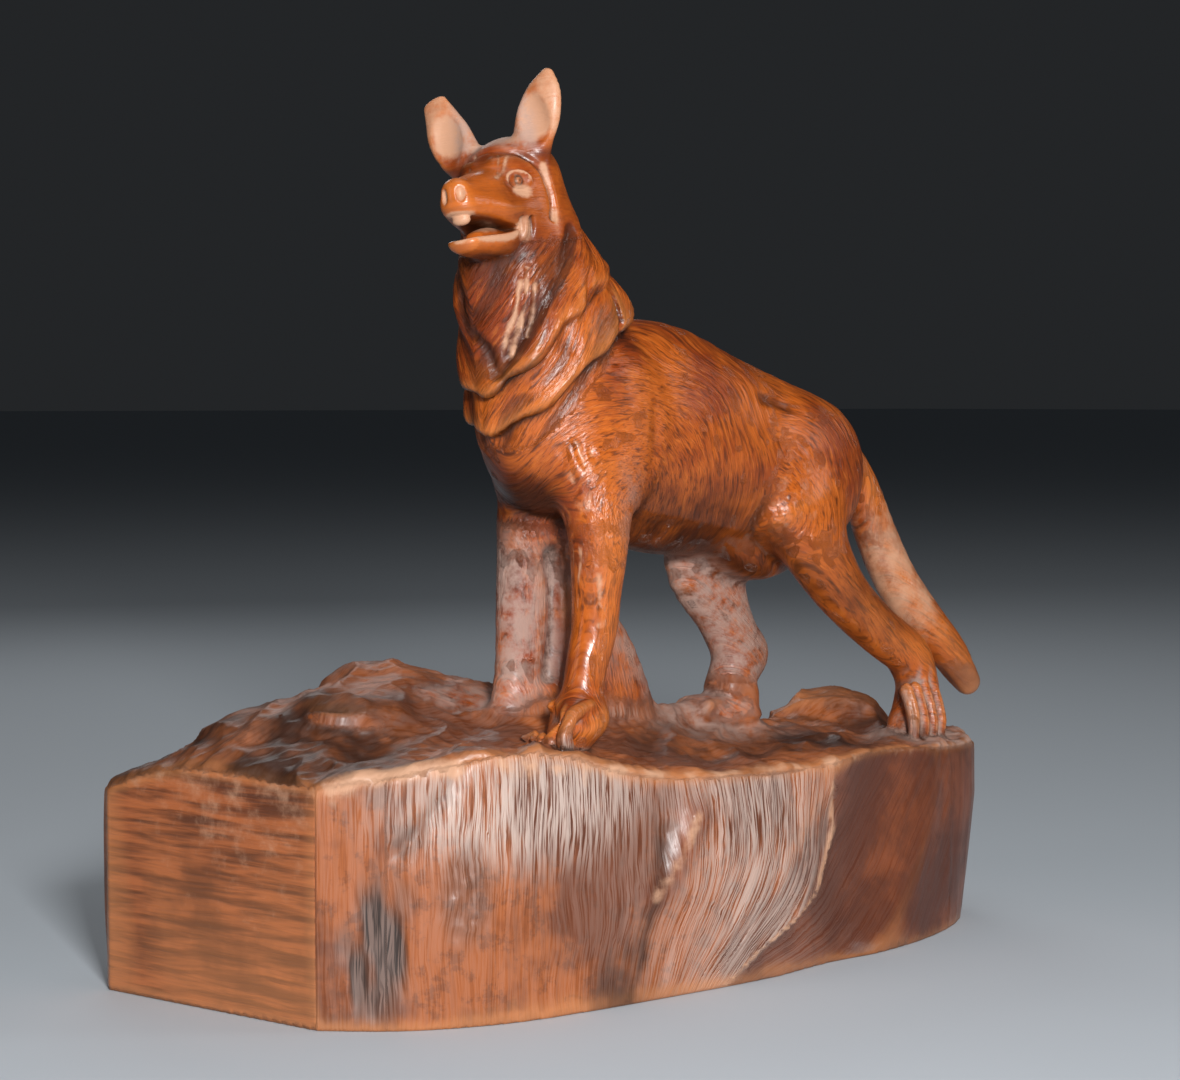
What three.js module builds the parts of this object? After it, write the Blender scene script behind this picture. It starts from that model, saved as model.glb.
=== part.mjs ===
// A carved boxwood wolf standing on its rock, all one piece of wood.
// Millimetres, +Z up. The wolf looks towards -X with its left flank towards -Y, and its tail is towards +X.
// The form is a distance field: tubes, ellipsoids and cuts are blended into one another,
// the zero surface is read off a grid, and the mesh is thinned where the surface is nearly flat.
import * as THREE from "three";

// Driving dimensions
const COARSE_STEP = 2; // spacing of the field's samples
const FINE_STEP = 0.9; // the same, round the head
const TARGET_TRIANGLES = 9700;
const SHORT_FIRST = 1e-4; // how much the thinning favours short edges
const SOLE = 0.3; // points lower than this lie on the underside

const BODY_ORIGIN = [-54, -24, 0]; // below the wolf's breast, in the underside's plane
const BODY_TURN = 5; // degrees: the wolf stands a little askew on its rock
const HEAD_CENTRE = [-10.3, -2, 253]; // middle of the skull, in the body's frame
const HEAD_TURN = 22; // degrees towards the wolf's left
const HEAD_LIFT = 0;
const HEAD_ROLL = 9; // the left ear stands higher

// The field's box, wide enough for the whole carving, and the finer part of it round the head
const LOW = [-170, -78, -6];
const HIGH = [166, 78, 298];
const FINE_LOW = [-108, -56, 222];
const FINE_HIGH = [-48, 0, 292];

const { clamp, lerp, degToRad } = THREE.MathUtils;

// Frames. In the body's frame +X runs from breast to tail, +Y to the wolf's right and +Z up.
const rockFrame = new THREE.Matrix4();
const bodyFrame = new THREE.Matrix4().makeRotationZ(degToRad(BODY_TURN)).setPosition(...BODY_ORIGIN);

// In the head's frame +X points out of the nose, +Y to the wolf's left and +Z out of the crown.
const headFrame = bodyFrame
  .clone()
  .multiply(new THREE.Matrix4().makeTranslation(...HEAD_CENTRE))
  .multiply(new THREE.Matrix4().makeRotationZ(Math.PI + degToRad(HEAD_TURN)))
  .multiply(new THREE.Matrix4().makeRotationY(-degToRad(HEAD_LIFT)))
  .multiply(new THREE.Matrix4().makeRotationX(degToRad(HEAD_ROLL)));

// Places of the samples along each axis
const ticks = LOW.map((low, k) => {
  const places = [low];
  while (places[places.length - 1] < HIGH[k]) {
    const at = places[places.length - 1];
    const fine = at >= FINE_LOW[k] && at < FINE_HIGH[k];
    places.push(at + (fine ? FINE_STEP : COARSE_STEP));
  }
  return places;
});
const [nx, ny, nz] = ticks.map((places) => places.length);

// The field holds a distance at every sample, above zero outside the wood.
const field = new Float32Array(nx * ny * nz).fill(1e3);

// Calls visit(x, y, z, index) at every sample inside a box grown by a margin.
function eachSample(box, margin, visit) {
  const spans = ticks.map((places, k) => {
    const from = places.findIndex((t) => t >= box.min.getComponent(k) - margin);
    const to = places.findIndex((t) => t > box.max.getComponent(k) + margin);
    return [from < 0 ? places.length : from, to < 0 ? places.length : to];
  });
  for (let k = spans[2][0]; k < spans[2][1]; k++) {
    for (let j = spans[1][0]; j < spans[1][1]; j++) {
      for (let i = spans[0][0]; i < spans[0][1]; i++) {
        visit(ticks[0][i], ticks[1][j], ticks[2][k], i + nx * (j + ny * k));
      }
    }
  }
}

// The lesser of two distances, rounded where they meet
function smoothLeast(a, b, blend) {
  const h = Math.max(blend - Math.abs(a - b), 0) / blend;
  return Math.min(a, b) - (h * h * blend) / 4;
}

// Adds solids to the wood with a fillet of about the blend's size.
function join(blend, ...solids) {
  for (const solid of solids) {
    eachSample(solid.box, blend + 2 * COARSE_STEP, (x, y, z, index) => {
      field[index] = smoothLeast(field[index], solid.distance(x, y, z), blend);
    });
  }
}

// Cuts solids out of the wood, with the edges eased by the blend.
function carve(blend, ...solids) {
  for (const solid of solids) {
    eachSample(solid.box, blend + 2 * COARSE_STEP, (x, y, z, index) => {
      field[index] = -smoothLeast(-field[index], solid.distance(x, y, z), blend);
    });
  }
}

// Near distance from a point to an ellipsoid of half sizes a, b and c
function ellipsoidGap(u, v, w, a, b, c) {
  const p = u / a;
  const q = v / b;
  const r = w / c;
  const near = Math.sqrt(p * p + q * q + r * r);
  const steep = Math.sqrt((p * p) / (a * a) + (q * q) / (b * b) + (r * r) / (c * c));
  return steep < 1e-9 ? -Math.min(a, b, c) : (near * (near - 1)) / steep;
}

// Cubic through four equally spaced values, between the second and the third
function through(p, q, r, s, t) {
  const m = (r - p) / 2;
  const n = (s - q) / 2;
  return q + t * (m + t * (3 * (r - q) - 2 * m - n + t * (2 * (q - r) + m + n)));
}

// A smooth chain of points through the given ones
function smoothChain(points, steps) {
  const last = points.length - 1;
  const chain = [];
  for (let i = 0; i <= last * steps; i++) {
    const at = Math.min(Math.floor(i / steps), last - 1);
    const four = [at - 1, at, at + 1, at + 2].map((k) => points[clamp(k, 0, last)]);
    chain.push(points[0].map((_, k) => through(...four.map((p) => p[k]), i / steps - at)));
  }
  return chain;
}

// A tube along a smooth curve. Each station is [x, y, z, half width, half depth].
// The width runs along the direction called across, and the depth square to it and to the curve.
function tube(frame, stations, across = [0, 1, 0], steps = 4) {
  const rings = [];
  const box = new THREE.Box3();
  for (const ring of smoothChain(stations, steps)) {
    const centre = new THREE.Vector3(...ring).applyMatrix4(frame);
    const reach = Math.max(ring[3], ring[4]);
    box.union(new THREE.Box3(centre.clone().subScalar(reach), centre.clone().addScalar(reach)));
    rings.push({ centre, width: ring[3], depth: ring[4] });
  }
  const sideways = new THREE.Vector3(...across).transformDirection(frame);
  const spans = rings.slice(1).map((b, i) => {
    const a = rings[i];
    const along = b.centre.clone().sub(a.centre);
    const length = along.length();
    along.normalize();
    const side = sideways.clone().addScaledVector(along, -sideways.dot(along)).normalize();
    return { a, b, along, length, side, deep: along.clone().cross(side) };
  });
  const point = new THREE.Vector3();
  const distance = (x, y, z) => {
    let least = 1e3;
    for (const { a, b, along, length, side, deep } of spans) {
      point.set(x, y, z).sub(a.centre);
      const s = point.dot(along);
      const t = clamp(s / length, 0, 1);
      const width = lerp(a.width, b.width, t);
      const depth = lerp(a.depth, b.depth, t);
      const [p, q, r] = [point.dot(side), point.dot(deep), s - t * length];
      const gap = ellipsoidGap(p, q, r, width, depth, Math.min(width, depth));
      least = Math.min(least, gap);
    }
    return least;
  };
  return { box, distance };
}

// A thin tube of one radius through points, for grooves and ridges
const strand = (frame, radius, ...points) => tube(frame, points.map((p) => [...p, radius, radius]));

// An ellipsoid turned by degrees about its own X, then Y, then Z
function egg(frame, centre, halves, turns = [0, 0, 0]) {
  const turned = new THREE.Matrix4().makeRotationFromEuler(new THREE.Euler(...turns.map(degToRad), "ZYX"));
  const placed = frame.clone().multiply(turned.setPosition(...centre));
  const middle = new THREE.Vector3().setFromMatrixPosition(placed);
  const reach = 2 * Math.max(...halves);
  const box = new THREE.Box3().setFromCenterAndSize(middle, new THREE.Vector3(reach, reach, reach));
  const inverse = placed.invert();
  const point = new THREE.Vector3();
  const distance = (x, y, z) => {
    point.set(x, y, z).applyMatrix4(inverse);
    return ellipsoidGap(point.x, point.y, point.z, ...halves);
  };
  return { box, distance };
}

// A tier of the ruff: a flaring cone with an oval section, cut off at a tilted hem.
// The section's first half size lies up the hem's slope and the second across the body.
// The hem rises on both sides by the lift, and waves a little.
function tier({ top, hem, topHalves, hemHalves, tilt, lift, wave }) {
  const placed = bodyFrame
    .clone()
    .multiply(new THREE.Matrix4().makeTranslation(...hem))
    .multiply(new THREE.Matrix4().makeRotationY(-degToRad(tilt)));
  const inverse = placed.clone().invert();
  const head = new THREE.Vector3(...top).applyMatrix4(bodyFrame).applyMatrix4(inverse);
  const middle = new THREE.Vector3().setFromMatrixPosition(placed);
  const reach = 2 * Math.max(...hemHalves, head.length());
  const box = new THREE.Box3().setFromCenterAndSize(middle, new THREE.Vector3(reach, reach, reach));
  const point = new THREE.Vector3();
  const distance = (x, y, z) => {
    point.set(x, y, z).applyMatrix4(inverse);
    const s = clamp(point.z / head.z, 0, 1);
    const swell = 1 + 0.3 * s * (1 - s);
    const a = lerp(hemHalves[0], topHalves[0], s) * swell;
    const b = lerp(hemHalves[1], topHalves[1], s) * swell;
    const u = (point.x - head.x * s) / a;
    const v = (point.y - head.y * s) / b;
    const angle = Math.atan2(v, u);
    const wall = ellipsoidGap(u * a, v * b, 0, a, b, 1e3);
    const lip = lift * Math.sin(angle) ** 2 + wave * Math.sin(9 * angle);
    const cut = -smoothLeast(-wall, point.z - lip, 3);
    return -smoothLeast(-cut, head.z - point.z, 6);
  };
  return { box, distance };
}

// Rock: an outline on the underside, walls, and a top whose height varies over it.
// The outline is smooth from the first corner of the planed end round to its last.
const OUTLINE = [
  [-139, -36],
  [-121, -51],
  [-99, -61],
  [-72, -66],
  [-14, -67],
  [36, -64.5],
  [92, -55],
  [132, -36],
  [150, -8],
  [141, 30],
  [100, 54],
  [36, 65],
  [-45, 68],
  [-120, 66],
  [-154, 60],
  [-162, 50],
];
const outline = smoothChain(OUTLINE, 4);
const WALL_LEAN = 5.5; // how far the tail's end of the rock leans out over its foot
const LEAN_FROM = 110; // where the lean begins along X
const LEAN_OVER = 35; // the length that it grows over
const LEAN_HEIGHT = 45; // the height that it grows over
const EDGE_EASE = 5; // rounding of the top's edge

// Heights of the top on a wide mesh of points: one row for each Y, with columns at each X
const TOP_X = [-160, -120, -80, -40, 0, 40, 80, 120, 160];
const TOP_Y = [-58, -25, 22, 62];
const TOP_HEIGHTS = [
  [68, 78, 83, 73, 69, 69, 68, 67, 65],
  [71, 79, 81, 81, 77, 73, 69, 67, 65],
  [73, 88, 97, 92, 81, 75, 71, 67, 65],
  [65, 74, 82, 80, 71, 68, 65, 62, 60],
];

// Signed distance to the outline on the underside
function outlineGap(x, y) {
  let least = 1e9;
  let inside = false;
  outline.forEach(([ax, ay], i) => {
    const [bx, by] = outline[(i + 1) % outline.length];
    const ex = bx - ax;
    const ey = by - ay;
    const t = clamp(((x - ax) * ex + (y - ay) * ey) / (ex * ex + ey * ey), 0, 1);
    least = Math.min(least, Math.hypot(x - ax - t * ex, y - ay - t * ey));
    if (ay > y !== by > y && x < ax + (ex * (y - ay)) / ey) inside = !inside;
  });
  return inside ? -least : least;
}

// Smooth value at a place along uneven knots
function along(knots, values, x) {
  const last = knots.length - 1;
  const i = clamp(knots.findIndex((k) => k > x) - 1, 0, last - 1);
  const at = x >= knots[last] ? last - 1 : i;
  const t = clamp((x - knots[at]) / (knots[at + 1] - knots[at]), 0, 1);
  const four = [at - 1, at, at + 1, at + 2].map((k) => values[clamp(k, 0, last)]);
  return through(...four, t);
}

const topHeight = (x, y) => along(TOP_Y, TOP_HEIGHTS.map((row) => along(TOP_X, row, x)), y);

const columns = new Map();
const rockBody = {
  box: new THREE.Box3(new THREE.Vector3(LOW[0], LOW[1], 0), new THREE.Vector3(HIGH[0], HIGH[1], 104)),
  distance(x, y, z) {
    const key = Math.round(x * 10) * 1e5 + Math.round(y * 10);
    if (!columns.has(key)) columns.set(key, [outlineGap(x, y), topHeight(x, y)]);
    const [wall, top] = columns.get(key);
    const lean = WALL_LEAN * clamp((x - LEAN_FROM) / LEAN_OVER, 0, 1) * clamp(z / LEAN_HEIGHT, 0, 1);
    return -smoothLeast(lean - wall, top - z, EDGE_EASE);
  },
};

join(1, rockBody);
// The far boulder
join(4, egg(rockFrame, [126, 27, 63.5], [27, 15, 15], [0, 4, 0]));
// The fibrous swell of the near wall, and the smooth hollow beside it
join(6, egg(rockFrame, [0, -56, 38], [56, 13, 32], [0, 0, 3]));
carve(2, egg(rockFrame, [58, -70, 34], [36, 14, 90], [0, 45, 12]));

// Trunk and neck
join(
  12,
  tube(bodyFrame, [
    [8, 0, 171, 18, 20],
    [28, 0, 178, 22, 31],
    [54, 0, 177, 23, 35],
    [84, 0, 171, 22, 31],
    [110, 0, 166, 19, 28],
    [130, 0, 162, 17, 25],
    [139, 0, 160, 12, 18],
  ]),
  tube(bodyFrame, [
    [22, 0, 176, 21, 24],
    [9, 0, 196, 22, 25],
    [1.5, 0, 218, 21, 23.5],
    [-0.7, -1, 233, 18, 20.6],
    [-2, -1, 245, 14.5, 17],
    [-3.5, -2, 254, 12, 14],
  ]),
);
// Keel of the belly, and the groin
join(8, egg(bodyFrame, [78, 5, 146], [42, 13, 12]), egg(bodyFrame, [110, 3, 137], [22, 11, 13]));

// Ruff
join(
  2,
  tier({
    top: [6, -1, 216],
    hem: [12.6, 0, 195],
    topHalves: [22, 21],
    hemHalves: [35.2, 25.4],
    tilt: 36,
    lift: 5,
    wave: 0.8,
  }),
  tier({
    top: [-4, -1, 236],
    hem: [5.2, -1, 206.8],
    topHalves: [15, 15],
    hemHalves: [32.4, 24],
    tilt: 39,
    lift: 7,
    wave: 0.8,
  }),
);

// Shoulders
join(
  8,
  egg(bodyFrame, [22, -16, 172], [17, 9, 30], [0, 12, 0]),
  egg(bodyFrame, [22, 16, 170], [17, 9, 30], [0, 12, 0]),
);

// A paw with four toes that bend down over its front. The pitch tips the toes up.
function paw(centre, halves, pitch) {
  const [length, width, height] = halves;
  const placed = bodyFrame
    .clone()
    .multiply(new THREE.Matrix4().makeTranslation(...centre))
    .multiply(new THREE.Matrix4().makeRotationY(degToRad(pitch)));
  join(5, egg(placed, [0, 0, -0.1 * height], [0.9 * length, 0.95 * width, 0.9 * height]));
  for (const lane of [-1.5, -0.5, 0.5, 1.5]) {
    const side = 0.5 * lane * width;
    const toe = [
      [0.1 * length, 0.8 * side, 0.6 * height],
      [-0.6 * length, side, 0.55 * height],
      [-1.05 * length + 0.6 * lane ** 2, side, -0.1 * height],
      [-1.1 * length + 0.6 * lane ** 2, side, -0.8 * height],
    ];
    join(0.8, strand(placed, 0.27 * width, ...toe));
  }
}

// Left foreleg
join(
  6,
  tube(bodyFrame, [
    [15, -18, 162, 9, 13],
    [14, -20, 143, 9, 10],
    [13, -20, 126, 7.5, 8.2],
    [12, -20, 114, 6.8, 7.6],
    [9, -20, 104, 6.4, 6.8],
    [7, -20, 95, 6.2, 6.6],
    [4, -20, 87, 7, 8],
  ]),
);
paw([3, -21.5, 86.5], [12.5, 9, 7.5], -12);

// Right foreleg and the stump behind it
join(
  6,
  tube(bodyFrame, [
    [17, 12, 145, 11, 15],
    [22, 12, 118, 10, 22],
    [28, 11, 96, 11, 31],
    [31, 10, 78, 13, 36],
  ]),
);

// Its dusty facet with an oval muscle, beside the polished rim
carve(3, tube(bodyFrame, [[14, 1, 136, 4, 3], [16, 0, 118, 5, 3], [13, 1, 98, 4, 3]]));
join(3, egg(bodyFrame, [23, 4, 114], [5.5, 4, 15], [0, -8, 0]));

// Left hind leg
join(8, egg(bodyFrame, [119, -12, 160], [25, 12, 26], [0, 20, 0]));
join(
  6,
  tube(bodyFrame, [
    [110, -16, 150, 10, 16],
    [118, -18, 135, 9, 13],
    [132, -18, 119, 8, 9.8],
    [151, -18, 105, 7.4, 8.6],
    [166, -18, 96, 7.4, 8.4],
    [171.5, -18, 86, 7.5, 7.5],
    [171, -18, 76, 8.5, 8],
    [169, -18, 70, 9, 9],
  ]),
);
// Its toes hang over the near edge of the rock.
for (const lane of [-1.5, -0.5, 0.5, 1.5]) {
  const across = 165.5 + 4.6 * lane;
  const toe = [
    [across, -24, 84],
    [across, -26.5, 78],
    [across, -28, 71],
    [across, -27, 65],
  ];
  join(0.8, strand(bodyFrame, 2.5, ...toe));
}

// Right hind leg
join(8, egg(bodyFrame, [112, 13, 157], [27, 11, 27], [0, 20, 0]));
join(
  6,
  tube(bodyFrame, [
    [98, 13, 140, 11, 22],
    [98, 15, 128, 9, 17],
    [106, 15, 112, 8, 11],
    [113, 15, 98, 8, 10],
    [110, 15, 87, 8, 9],
    [109, 15, 74, 10, 11],
  ]),
  egg(bodyFrame, [121, 15, 97], [5, 5, 7]),
);
paw([102, 15, 77], [13, 8, 6], 4);
// The low web of wood between the stump and the right hind leg
join(6, tube(bodyFrame, [[52, 11, 76, 9, 9], [76, 12, 76, 6, 6], [98, 15, 75, 8, 7]]));

// Tail
join(
  3,
  tube(bodyFrame, [
    [146, 0, 172, 6, 7],
    [158, -1, 157, 6.5, 7],
    [166, -3, 138, 7, 8],
    [174, -6, 121, 7, 8.5],
    [186, -9, 106, 7, 8],
    [199, -11, 93, 6, 7],
    [208, -12, 82, 3.5, 4.5],
  ]),
);

// Skull, cheeks and snout
join(
  6,
  egg(headFrame, [-3, 0, -1.5], [15, 13.5, 12.5]),
  egg(headFrame, [-6, 0, 2], [11, 12, 11.5]),
  egg(headFrame, [-1, 7, -9], [11, 6.5, 9]),
  egg(headFrame, [-1, -7, -9], [11, 6.5, 9]),
);
join(
  4,
  tube(headFrame, [
    [2, 0, 0, 11, 10],
    [12, 0, -3.6, 9.8, 7.4],
    [22, 0, -5, 7.2, 6.2],
    [30, 0, -6.4, 4.8, 5.2],
  ]),
  tube(headFrame, [
    [2, 0, -9, 12.5, 7],
    [13, 0, -10.4, 11.8, 5.4],
    [22, 0, -9.6, 9.4, 4.8],
    [30, 0, -9, 6, 4.6],
  ]),
  tube(headFrame, [
    [0, 0, -15, 10.5, 8],
    [12, 0, -18, 9.2, 6],
    [22, 0, -19.2, 7.8, 5],
    [30.5, 0, -19.8, 5.6, 3.8],
  ]),
);
// Brows, and the nose leather
join(
  2,
  strand(headFrame, 1.6, [11, 3.5, 4.6], [8.5, 7, 5], [4, 10.2, 3]),
  strand(headFrame, 1.6, [11, -3.5, 4.6], [8.5, -7, 5], [4, -10.2, 3]),
  egg(headFrame, [32, 0, -4], [3, 4, 3]),
);
// The groove round the face, over the crown and down behind the cheeks
for (const side of [1, -1]) {
  const ring = [
    [8, 0, 10.4],
    [7, side * 5.6, 9],
    [4.2, side * 10.6, 6.4],
    [0.8, side * 14, 2.2],
    [-0.8, side * 15.3, -3],
    [-1.8, side * 15.4, -8.5],
    [-1, side * 15, -13],
  ];
  carve(1, strand(headFrame, 1.5, ...ring));
}
// Open mouth
carve(
  1,
  tube(headFrame, [
    [11, 0, -16, 12, 0.7],
    [16, 0, -16, 12, 2],
    [24, 0, -15.8, 12, 3.2],
    [44, 0, -15.6, 12, 4.4],
  ]),
);
// Tongue and upper teeth
join(
  1,
  tube(headFrame, [
    [12, 1, -17.4, 3.6, 1.8],
    [19, 1, -17.4, 3.8, 2.2],
    [26, 1, -18.4, 3, 1.6],
  ]),
  egg(headFrame, [31, 0, -13.4], [2, 3, 1.7]),
);
// Ears
join(
  2.5,
  tube(headFrame, [
    [-3, 9.5, 6, 6, 5],
    [-1.5, 12, 12, 6.6, 3.6],
    [-1, 15.4, 19, 7.3, 3],
    [-1.2, 18.4, 26, 5.6, 2.4],
    [-1.6, 20, 31, 2, 1.3],
  ]),
  tube(headFrame, [
    [-3, -10.5, 6, 6, 5],
    [-1.5, -14, 12, 7.4, 3.6],
    [-1, -16.6, 18.5, 7.4, 3],
    [-1.2, -18.3, 24, 5.8, 2.6],
    [-1.6, -20.2, 29.4, 4.2, 1.5],
  ]),
);
// Their hollows
carve(
  0.8,
  egg(headFrame, [3.8, 14.6, 18], [4.2, 6.4, 13], [18, 0, 0]),
  egg(headFrame, [3.8, -16.2, 17], [4.2, 6.8, 12.5], [-14, 0, 0]),
);
for (const side of [1, -1]) {
  // Eye socket and ball
  carve(1, egg(headFrame, [11.6, side * 10.9, -2], [1.7, 5.2, 3.2], [0, 0, side * 67]));
  join(0.6, egg(headFrame, [9.4, side * 8.6, -1.8], [2.6, 2.6, 2.4]));
  // Nostril, and creases behind the corner of the mouth
  carve(0.6, egg(headFrame, [34.9, side * 2.8, -6], [1.5, 1.2, 2.4]));
  for (const back of [11, 7.4]) {
    const cheek = 14.4 - 0.44 * back;
    const crease = [
      [back, side * (cheek + 0.4), -13.4],
      [back - 0.7, side * cheek, -16.2],
      [back, side * (cheek - 0.3), -19],
    ];
    carve(0.6, strand(headFrame, 1, ...crease));
  }
}

// Cuts between the locks of the ruff and down the throat
carve(
  1.2,
  strand(bodyFrame, 1.3, [-22, 8, 224], [-22.5, -2, 210.5], [-20, -9, 199]),
  strand(bodyFrame, 1.2, [-12.5, -19.5, 221], [-16.5, -15.5, 209], [-19, -11.5, 198]),
  strand(bodyFrame, 1.1, [-3, -22.5, 221], [-9, -21, 205], [-13, -18.5, 192]),
  strand(bodyFrame, 1.1, [9, -21.5, 226], [5, -23.5, 214], [0, -24, 201]),
  strand(bodyFrame, 1.1, [20, -17, 224], [21, -24, 206], [15, -27, 192]),
);
// Hollows behind the shoulder and before the haunch
carve(
  3,
  egg(bodyFrame, [35, -29, 171], [3.5, 5, 20]),
  egg(bodyFrame, [97, -29, 176], [4, 6, 20], [0, 14, 0]),
  egg(bodyFrame, [35, 29, 171], [3.5, 5, 20]),
  egg(bodyFrame, [97, 29, 176], [4, 6, 20], [0, 14, 0]),
);

// Rock: lumps on top, the scoop before the boulder, and the cuts and knot of the near wall
join(
  8,
  egg(rockFrame, [-98, 4, 86], [21, 16, 8], [0, 10, 20]),
  egg(rockFrame, [-70, 34, 89], [20, 16, 11], [6, 0, 0]),
  egg(rockFrame, [-124, 24, 79], [14, 20, 8], [0, -14, 0]),
  egg(rockFrame, [-34, 44, 80], [22, 14, 9], [0, 6, 10]),
  egg(rockFrame, [60, 44, 62], [24, 12, 9], [0, 4, -12]),
);
carve(
  5,
  egg(rockFrame, [46, -26, 76], [34, 13, 7], [0, 3, 8]),
  egg(rockFrame, [96, -12, 74], [18, 10, 5]),
  egg(rockFrame, [-110, -38, 88], [20, 12, 7], [0, -6, 28]),
  egg(rockFrame, [-74, -42, 90], [19, 12, 6], [0, 8, 6]),
);
// The underside is planed flat
eachSample(rockBody.box, 4 * COARSE_STEP, (x, y, z, index) => {
  field[index] = Math.max(field[index], -z);
});

// The eight corners of a cell, and the edges between them
const corners = [0, 1, 2, 3, 4, 5, 6, 7].map((c) => [c & 1, (c >> 1) & 1, c >> 2]);
const offsets = corners.map(([a, b, c]) => a + nx * (b + ny * c));
const cellEdges = corners.flatMap((_, c) => {
  const bits = [1, 2, 4].filter((bit) => !(c & bit));
  return bits.map((bit) => [c, c | bit]);
});

// Whether the corners in a set of bits hang together along the cell's edges
function hangsTogether(bits) {
  let reached = bits & -bits;
  for (let pass = 0; pass < 8; pass++) {
    for (const [a, b] of cellEdges) {
      if ((reached >> a) & 1 && (bits >> b) & 1) reached |= 1 << b;
      if ((reached >> b) & 1 && (bits >> a) & 1) reached |= 1 << a;
    }
  }
  return reached === bits;
}

// A cell is plain when one sheet of surface at most can run through it.
const plain = Array.from({ length: 256 }, (_, bits) => hangsTogether(bits) && hangsTogether(255 - bits));

// Calls visit(i, j, k, base, bits) at every cell, with a bit set for each corner inside the wood.
function eachCell(visit) {
  for (let k = 0; k < nz - 1; k++) {
    for (let j = 0; j < ny - 1; j++) {
      for (let i = 0; i < nx - 1; i++) {
        const base = i + nx * (j + ny * k);
        let bits = 0;
        for (let c = 0; c < 8; c++) if (field[base + offsets[c]] < 0) bits |= 1 << c;
        if (bits !== 0 && bits !== 255) visit(i, j, k, base, bits);
      }
    }
  }
}

// Fills in the outer samples of every cell that isn't plain, until all the cells are.
function untangle() {
  for (let pass = 0; pass < 40; pass++) {
    let filled = 0;
    eachCell((i, j, k, base, bits) => {
      if (plain[bits]) return;
      const outer = offsets.map((o) => base + o).filter((index) => field[index] >= 0);
      outer.sort((a, b) => field[a] - field[b]);
      field[outer[0]] = -0.2;
      filled++;
    });
    if (filled === 0) return;
  }
}

// Reads the zero surface off the field: one vertex in each crossed cell, one quad across each crossed edge.
function surface() {
  const vertexOf = new Int32Array(field.length).fill(-1);
  const points = [];
  eachCell((i, j, k, base) => {
    const sum = [0, 0, 0];
    let crossings = 0;
    for (const [a, b] of cellEdges) {
      const from = field[base + offsets[a]];
      const to = field[base + offsets[b]];
      if (from < 0 === to < 0) continue;
      for (let m = 0; m < 3; m++) sum[m] += lerp(corners[a][m], corners[b][m], from / (from - to));
      crossings++;
    }
    vertexOf[base] = points.length;
    points.push([i, j, k].map((at, m) => lerp(ticks[m][at], ticks[m][at + 1], sum[m] / crossings)));
  });
  const strides = [1, nx, nx * ny];
  const triangles = [];
  for (let k = 1; k < nz - 1; k++) {
    for (let j = 1; j < ny - 1; j++) {
      for (let i = 1; i < nx - 1; i++) {
        const base = i + nx * (j + ny * k);
        const inside = field[base] < 0;
        for (let m = 0; m < 3; m++) {
          if (inside === field[base + strides[m]] < 0) continue;
          const u = strides[(m + 1) % 3];
          const v = strides[(m + 2) % 3];
          const ring = [base - u - v, base - v, base, base - u].map((cell) => vertexOf[cell]);
          if (!inside) ring.reverse();
          triangles.push([ring[0], ring[1], ring[2]], [ring[0], ring[2], ring[3]]);
        }
      }
    }
  }
  return { points, triangles };
}

// A mesh of the given triangles, with only the points that they use
function meshOf(points, triangles) {
  const used = [...new Set(triangles.flat())];
  const renumbered = new Map(used.map((v, at) => [v, at]));
  return {
    points: used.map((v) => points[v]),
    triangles: triangles.map((face) => face.map((v) => renumbered.get(v))),
  };
}

// The biggest closed shell of a mesh, without the walls of sealed hollows
function outerShell({ points, triangles }) {
  const group = points.map((_, v) => v);
  const find = (v) => {
    while (group[v] !== v) v = group[v] = group[group[v]];
    return v;
  };
  for (const [a, b, c] of triangles) {
    group[find(a)] = find(b);
    group[find(b)] = find(c);
  }
  const sizes = new Map();
  for (const [a] of triangles) sizes.set(find(a), (sizes.get(find(a)) ?? 0) + 1);
  const [biggest] = [...sizes].sort((a, b) => b[1] - a[1])[0];
  return meshOf(
    points,
    triangles.filter(([a]) => find(a) === biggest),
  );
}

// Vector products of points, and the direction that a face looks in
const dot = (p, q) => p[0] * q[0] + p[1] * q[1] + p[2] * q[2];
const cross = (p, q) => [p[1] * q[2] - p[2] * q[1], p[2] * q[0] - p[0] * q[2], p[0] * q[1] - p[1] * q[0]];
const minus = (p, q) => [p[0] - q[0], p[1] - q[1], p[2] - q[2]];
const normalOf = (p, q, r) => cross(minus(q, p), minus(r, p));

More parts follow.
